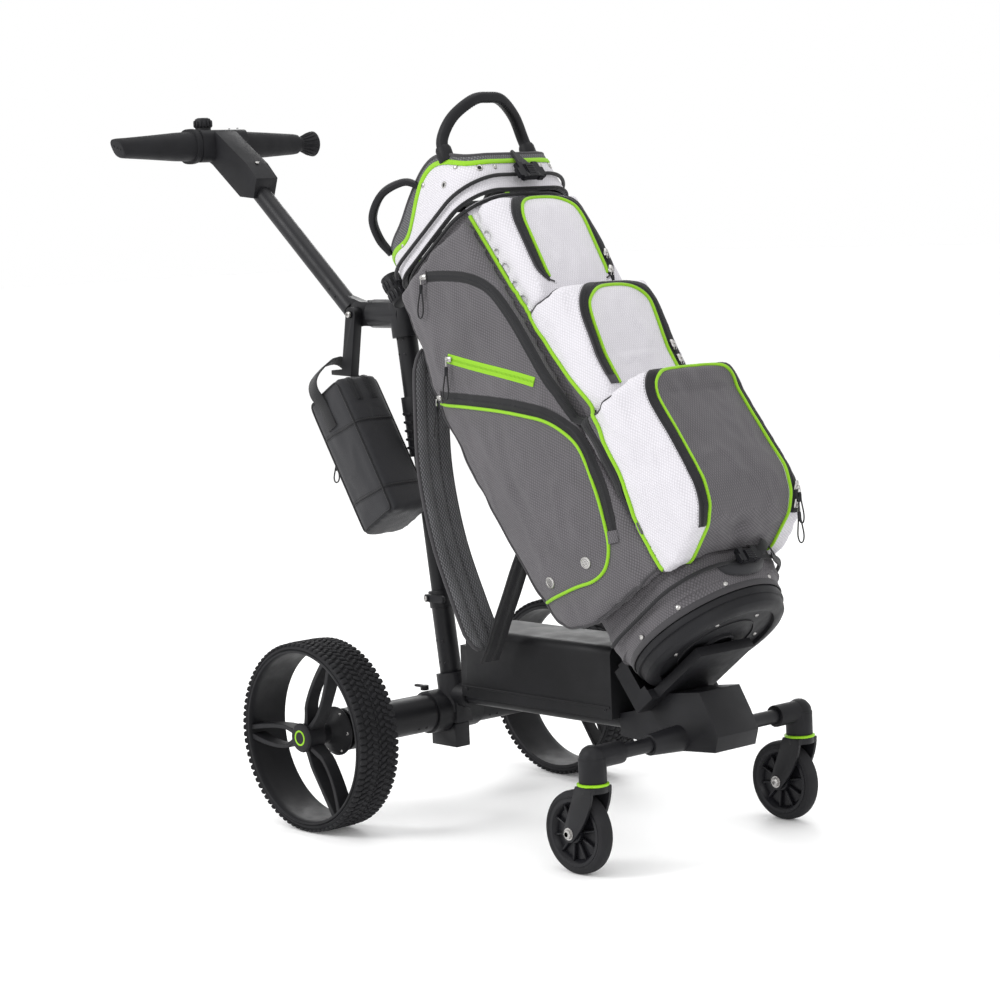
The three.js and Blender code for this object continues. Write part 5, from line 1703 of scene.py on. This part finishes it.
# %% Strap pad
STRAP = [(110, 757), (106, 730), (103, 677), (105, 565), (131, 454), (176, 354), (212, 286)]
strap_line = curve_through([on_cart(x, -98, z) for x, z in STRAP], 0.005)
half_width, crown = 0.034, 0.0062
section = []
for i in range(37):
    a = -1 + 2 * i / 36
    section.append((half_width * a, 0.0012 + crown * abs(math.sin(math.pi * 1.5 * (a + 1))) ** 0.55))
section += [(-p, -q) for p, q in section]
strap_last = len(strap_line) - 1
strap_ways = [Vector((0, 1, 0)).cross(strap_line[min(i + 1, strap_last)] - strap_line[max(i - 1, 0)]).normalized()
              for i in range(len(strap_line))]
ends = [min(1, 0.55 + 0.45 * math.sqrt(min(i, len(strap_line) - 1 - i) / 6)) for i in range(len(strap_line))]
strap = piece("strap_pad", sweep("strap_pad", strap_line, section, strap_ways, scale=ends, degrees=60), MESH_CLOTH,
              ROOT, ["shoulder_strap"])
for n, shift in enumerate((-half_width, half_width)):
    edge = [p + (strap_line[min(i + 1, len(strap_line) - 1)] - strap_line[max(i - 1, 0)]).normalized().cross(w)
            * shift * ends[i] for i, (p, w) in enumerate(zip(strap_line, strap_ways))]
    rim = [(0.0026 * math.cos(a), 0.0034 * math.sin(a)) for a in np.linspace(0, 2 * math.pi, 12, endpoint=False)]
    piece(f"strap_edge_{n}", sweep(f"strap_edge_{n}", edge, rim, strap_ways), GREY_BINDING)
points, out, along = [], [], []
for shift in (-half_width / 3, half_width / 3):
    for face in (-1, 1):
        a, b, c = along_route(strap_line[6:-6], [w * face for w in strap_ways[6:-6]], 0.005, shift * face)
        points += [p + o * 0.0010 for p, o in zip(a, b)]
        out += b
        along += c
repeat("strap_thread", points, out, along, PILL, (0.0032, 0.0011, 0.0012), THREAD)

# %% Webbing from the strap's foot
web = curve_through([on_cart(x, -98, z) for x, z in ((216, 266), (232, 292), (252, 334), (274, 376), (294, 416),
                                                (316, 456), (336, 492))], 0.006)
web_ways = [Vector((0, 1, 0)).cross(web[min(i + 1, len(web) - 1)] - web[max(i - 1, 0)]).normalized()
            for i in range(len(web))]
ribbed = [(-0.019, -0.0015), (0.019, -0.0015), (0.019, 0.0013), (0.015, 0.0016), (0.0146, 0.0012), (0.005, 0.0012),
          (0.0046, 0.0016), (-0.0046, 0.0016), (-0.005, 0.0012), (-0.0146, 0.0012), (-0.015, 0.0016), (-0.019, 0.0013)]
piece("strap_web", sweep("strap_web", web, ribbed, web_ways), BLACK_TAPE, ROOT, ["strap_webbing"])
print("strap done")

# %% [markdown]
# ## Accessory bag
# The small bag hangs from a hook on the post by a webbing loop. It is made like the pockets: its CAD solid is
# remeshed, puffed a little and given its seams and a zip across its top.


# %% Its own axes
TOTE_LEAN = math.radians(-32)
TOTE_X = Vector((math.cos(TOTE_LEAN), 0, -math.sin(TOTE_LEAN)))
TOTE_Z = Vector((math.sin(TOTE_LEAN), 0, math.cos(TOTE_LEAN)))
TOTE_AT = on_cart(-94, -66, 577)


def on_tote(x, y, z):
    return TOTE_AT + TOTE_X * (x / 1000) + Vector((0, y / 1000, 0)) + TOTE_Z * (z / 1000)


def tote_seam(z_low, z_high, half_x, y, corner=10):
    """The outline of one upright panel edge, on the face at the given y."""
    return [on_tote(x, y, z) for x, z in ((-half_x, z_low), (-half_x, z_high - corner),
            (-half_x + corner, z_high), (half_x - corner, z_high), (half_x, z_high - corner), (half_x, z_low + corner),
            (half_x - corner, z_low), (-half_x + corner, z_low))]


TOTE_AXES = (TOTE_X, Vector((0, 1, 0)), TOTE_Z)
panel_seams = [tote_seam(-118, 118, 42, y) for y in (-43, 43)]
tote = soft_pocket("accessory_bag", "accessory_bag_cloth", panel_seams, DARK_NYLON, 0.0055, 5, 3.0, 0.006, 0.002,
                   (16, 16, 7), 9, None, TOTE_AXES)
TOTE_SKIN = surface_of([tote])
for n, seam in enumerate(panel_seams):
    path, ways = laid_on(curve_through(seam, 0.005, True), TOTE_SKIN, 0.0006, 3, True)
    piece(f"accessory_bag_seam_{n}", sweep(f"accessory_bag_seam_{n}", path, round_section(0.0019, 8), ways,
                                           closed=True), BLACK_TAPE)
for n, z in enumerate((52, -70)):
    ring = [on_tote(x, y, z - 10 * (x > 0)) for x, y in ((-50, -30), (-50, 30), (-30, 46), (30, 46), (50, 30),
                                                        (50, -30), (30, -46), (-30, -46))]
    path, ways = laid_on(curve_through(ring, 0.005, True), TOTE_SKIN, 0.0003, 3, True)
    piece(f"accessory_bag_band_{n}", sweep(f"accessory_bag_band_{n}", path, flat_section(0.003, 0.001), ways,
                                           closed=True), BLACK_TAPE)
    stitches(f"accessory_bag_band_thread_{n}", path, ways, (-0.004, 0.004), TOTE_SKIN, BLACK_TAPE)
for n, y in enumerate((-16, 16)):
    zip_line = curve_through([on_tote(x, y, z) for x, z in ((-52, -40), (-52, 60), (-50, 108), (-34, 126), (0, 126),
                                                            (34, 126), (50, 108), (52, 80))], 0.005)
    route = laid_on(zip_line, TOTE_SKIN, 0.0004, 4)
    zip_band(f"accessory_zip_{n}", route, 0.014, BLACK_TAPE, GLOSS_BLACK, TOTE_SKIN, False)
    along = (route[0][15] - route[0][14]).normalized()
    zip_pull(f"accessory_pull_{n}", route[0][14 + 2 * n], route[1][14 + 2 * n], along, 0.034)

# %% Webbing loop over the hook
loop = [(-6, -46, 58), (-6, -46, 100), (-12, -47, 132), (-24, -24, 162), (-29, 16, 188), (-30, 33, 194),
        (-30, 50, 194), (-27, 58, 176), (-12, 52, 134), (-6, 47, 84)]
loop_path = curve_through([on_tote(*p) for p in loop], 0.005)
loop_mid = on_tote(-14, 4, 120)
loop_ways = [(p - loop_mid) for p in loop_path]
loop_ways = [(w - TOTE_X * w.dot(TOTE_X)).normalized() for w in loop_ways]
piece("accessory_loop_web", sweep("accessory_loop_web", loop_path, flat_section(0.024, 0.0026), loop_ways), BLACK_TAPE,
      ROOT, ["accessory_bag_loop"])
print("accessory bag done")

# %% [markdown]
# ## Small hard details
# Screws, ribs and lips break up the plain faces of the mouldings.

# %% Cradle and battery case
spots = [(on_bag(f, y * sy, -9), -S_AXIS) for f, y in ((-120, 30), (-60, 40), (0, 30)) for sy in (-1, 1)]
screws("cradle_screws", spots, 0.0042, STEEL)
case_low, case_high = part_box("battery_case")
CASE_SCREW_INSET = 0.014
spots = [(Vector((x, case_low.y - 0.0002, case_low.z + CASE_SCREW_INSET)), Vector((0, -1, 0)))
         for x in (case_low.x + CASE_SCREW_INSET, case_high.x - CASE_SCREW_INSET)]
screws("case_screws", spots, 0.0030, SATIN_BLACK)
seam_z = case_low.z + 0.018
for side, y, out in (("right", case_low.y, Vector((0, -1, 0))), ("left", case_high.y, Vector((0, 1, 0)))):
    line = [Vector((case_low.x + 0.004, y, seam_z)), Vector((case_high.x - 0.004, y, seam_z))]
    piece(f"case_{side}_lip", sweep(f"case_{side}_lip", line, flat_section(0.004, 0.0012), [out, out]), CASE_BLACK)

# %% Ribs round the knobs of the upper cradle
for side in (-1, 1):
    points, out, along = [], [], []
    for level in (782, 803):
        for k in range(14):
            a = 2 * math.pi * k / 14
            radial = F_AXIS * math.cos(a) + Vector((0, math.sin(a), 0))
            points.append(on_bag(-152, 76 * side, level) + radial * 0.0171)
            out.append(radial)
            along.append(S_AXIS)
    repeat(f"cradle_knob_ribs_{'left' if side > 0 else 'right'}", points, out, along, PILL, (0.016, 0.0042, 0.003),
           GLOSS_BLACK)

# %% Post clip ribs
points, out, along = [], [], []
for side in (-1, 1):
    for k in range(5):
        z = 586 + k * 14
        points.append(on_post(z) + Vector((0, side * 0.0226, 0)))
        out.append(Vector((0, side, 0)))
        along.append(Vector((1, 0, 0)))
repeat("post_clip_ribs", points, out, along, PILL, (0.020, 0.005, 0.0012), MOULDED_BLACK)
print("small details done")
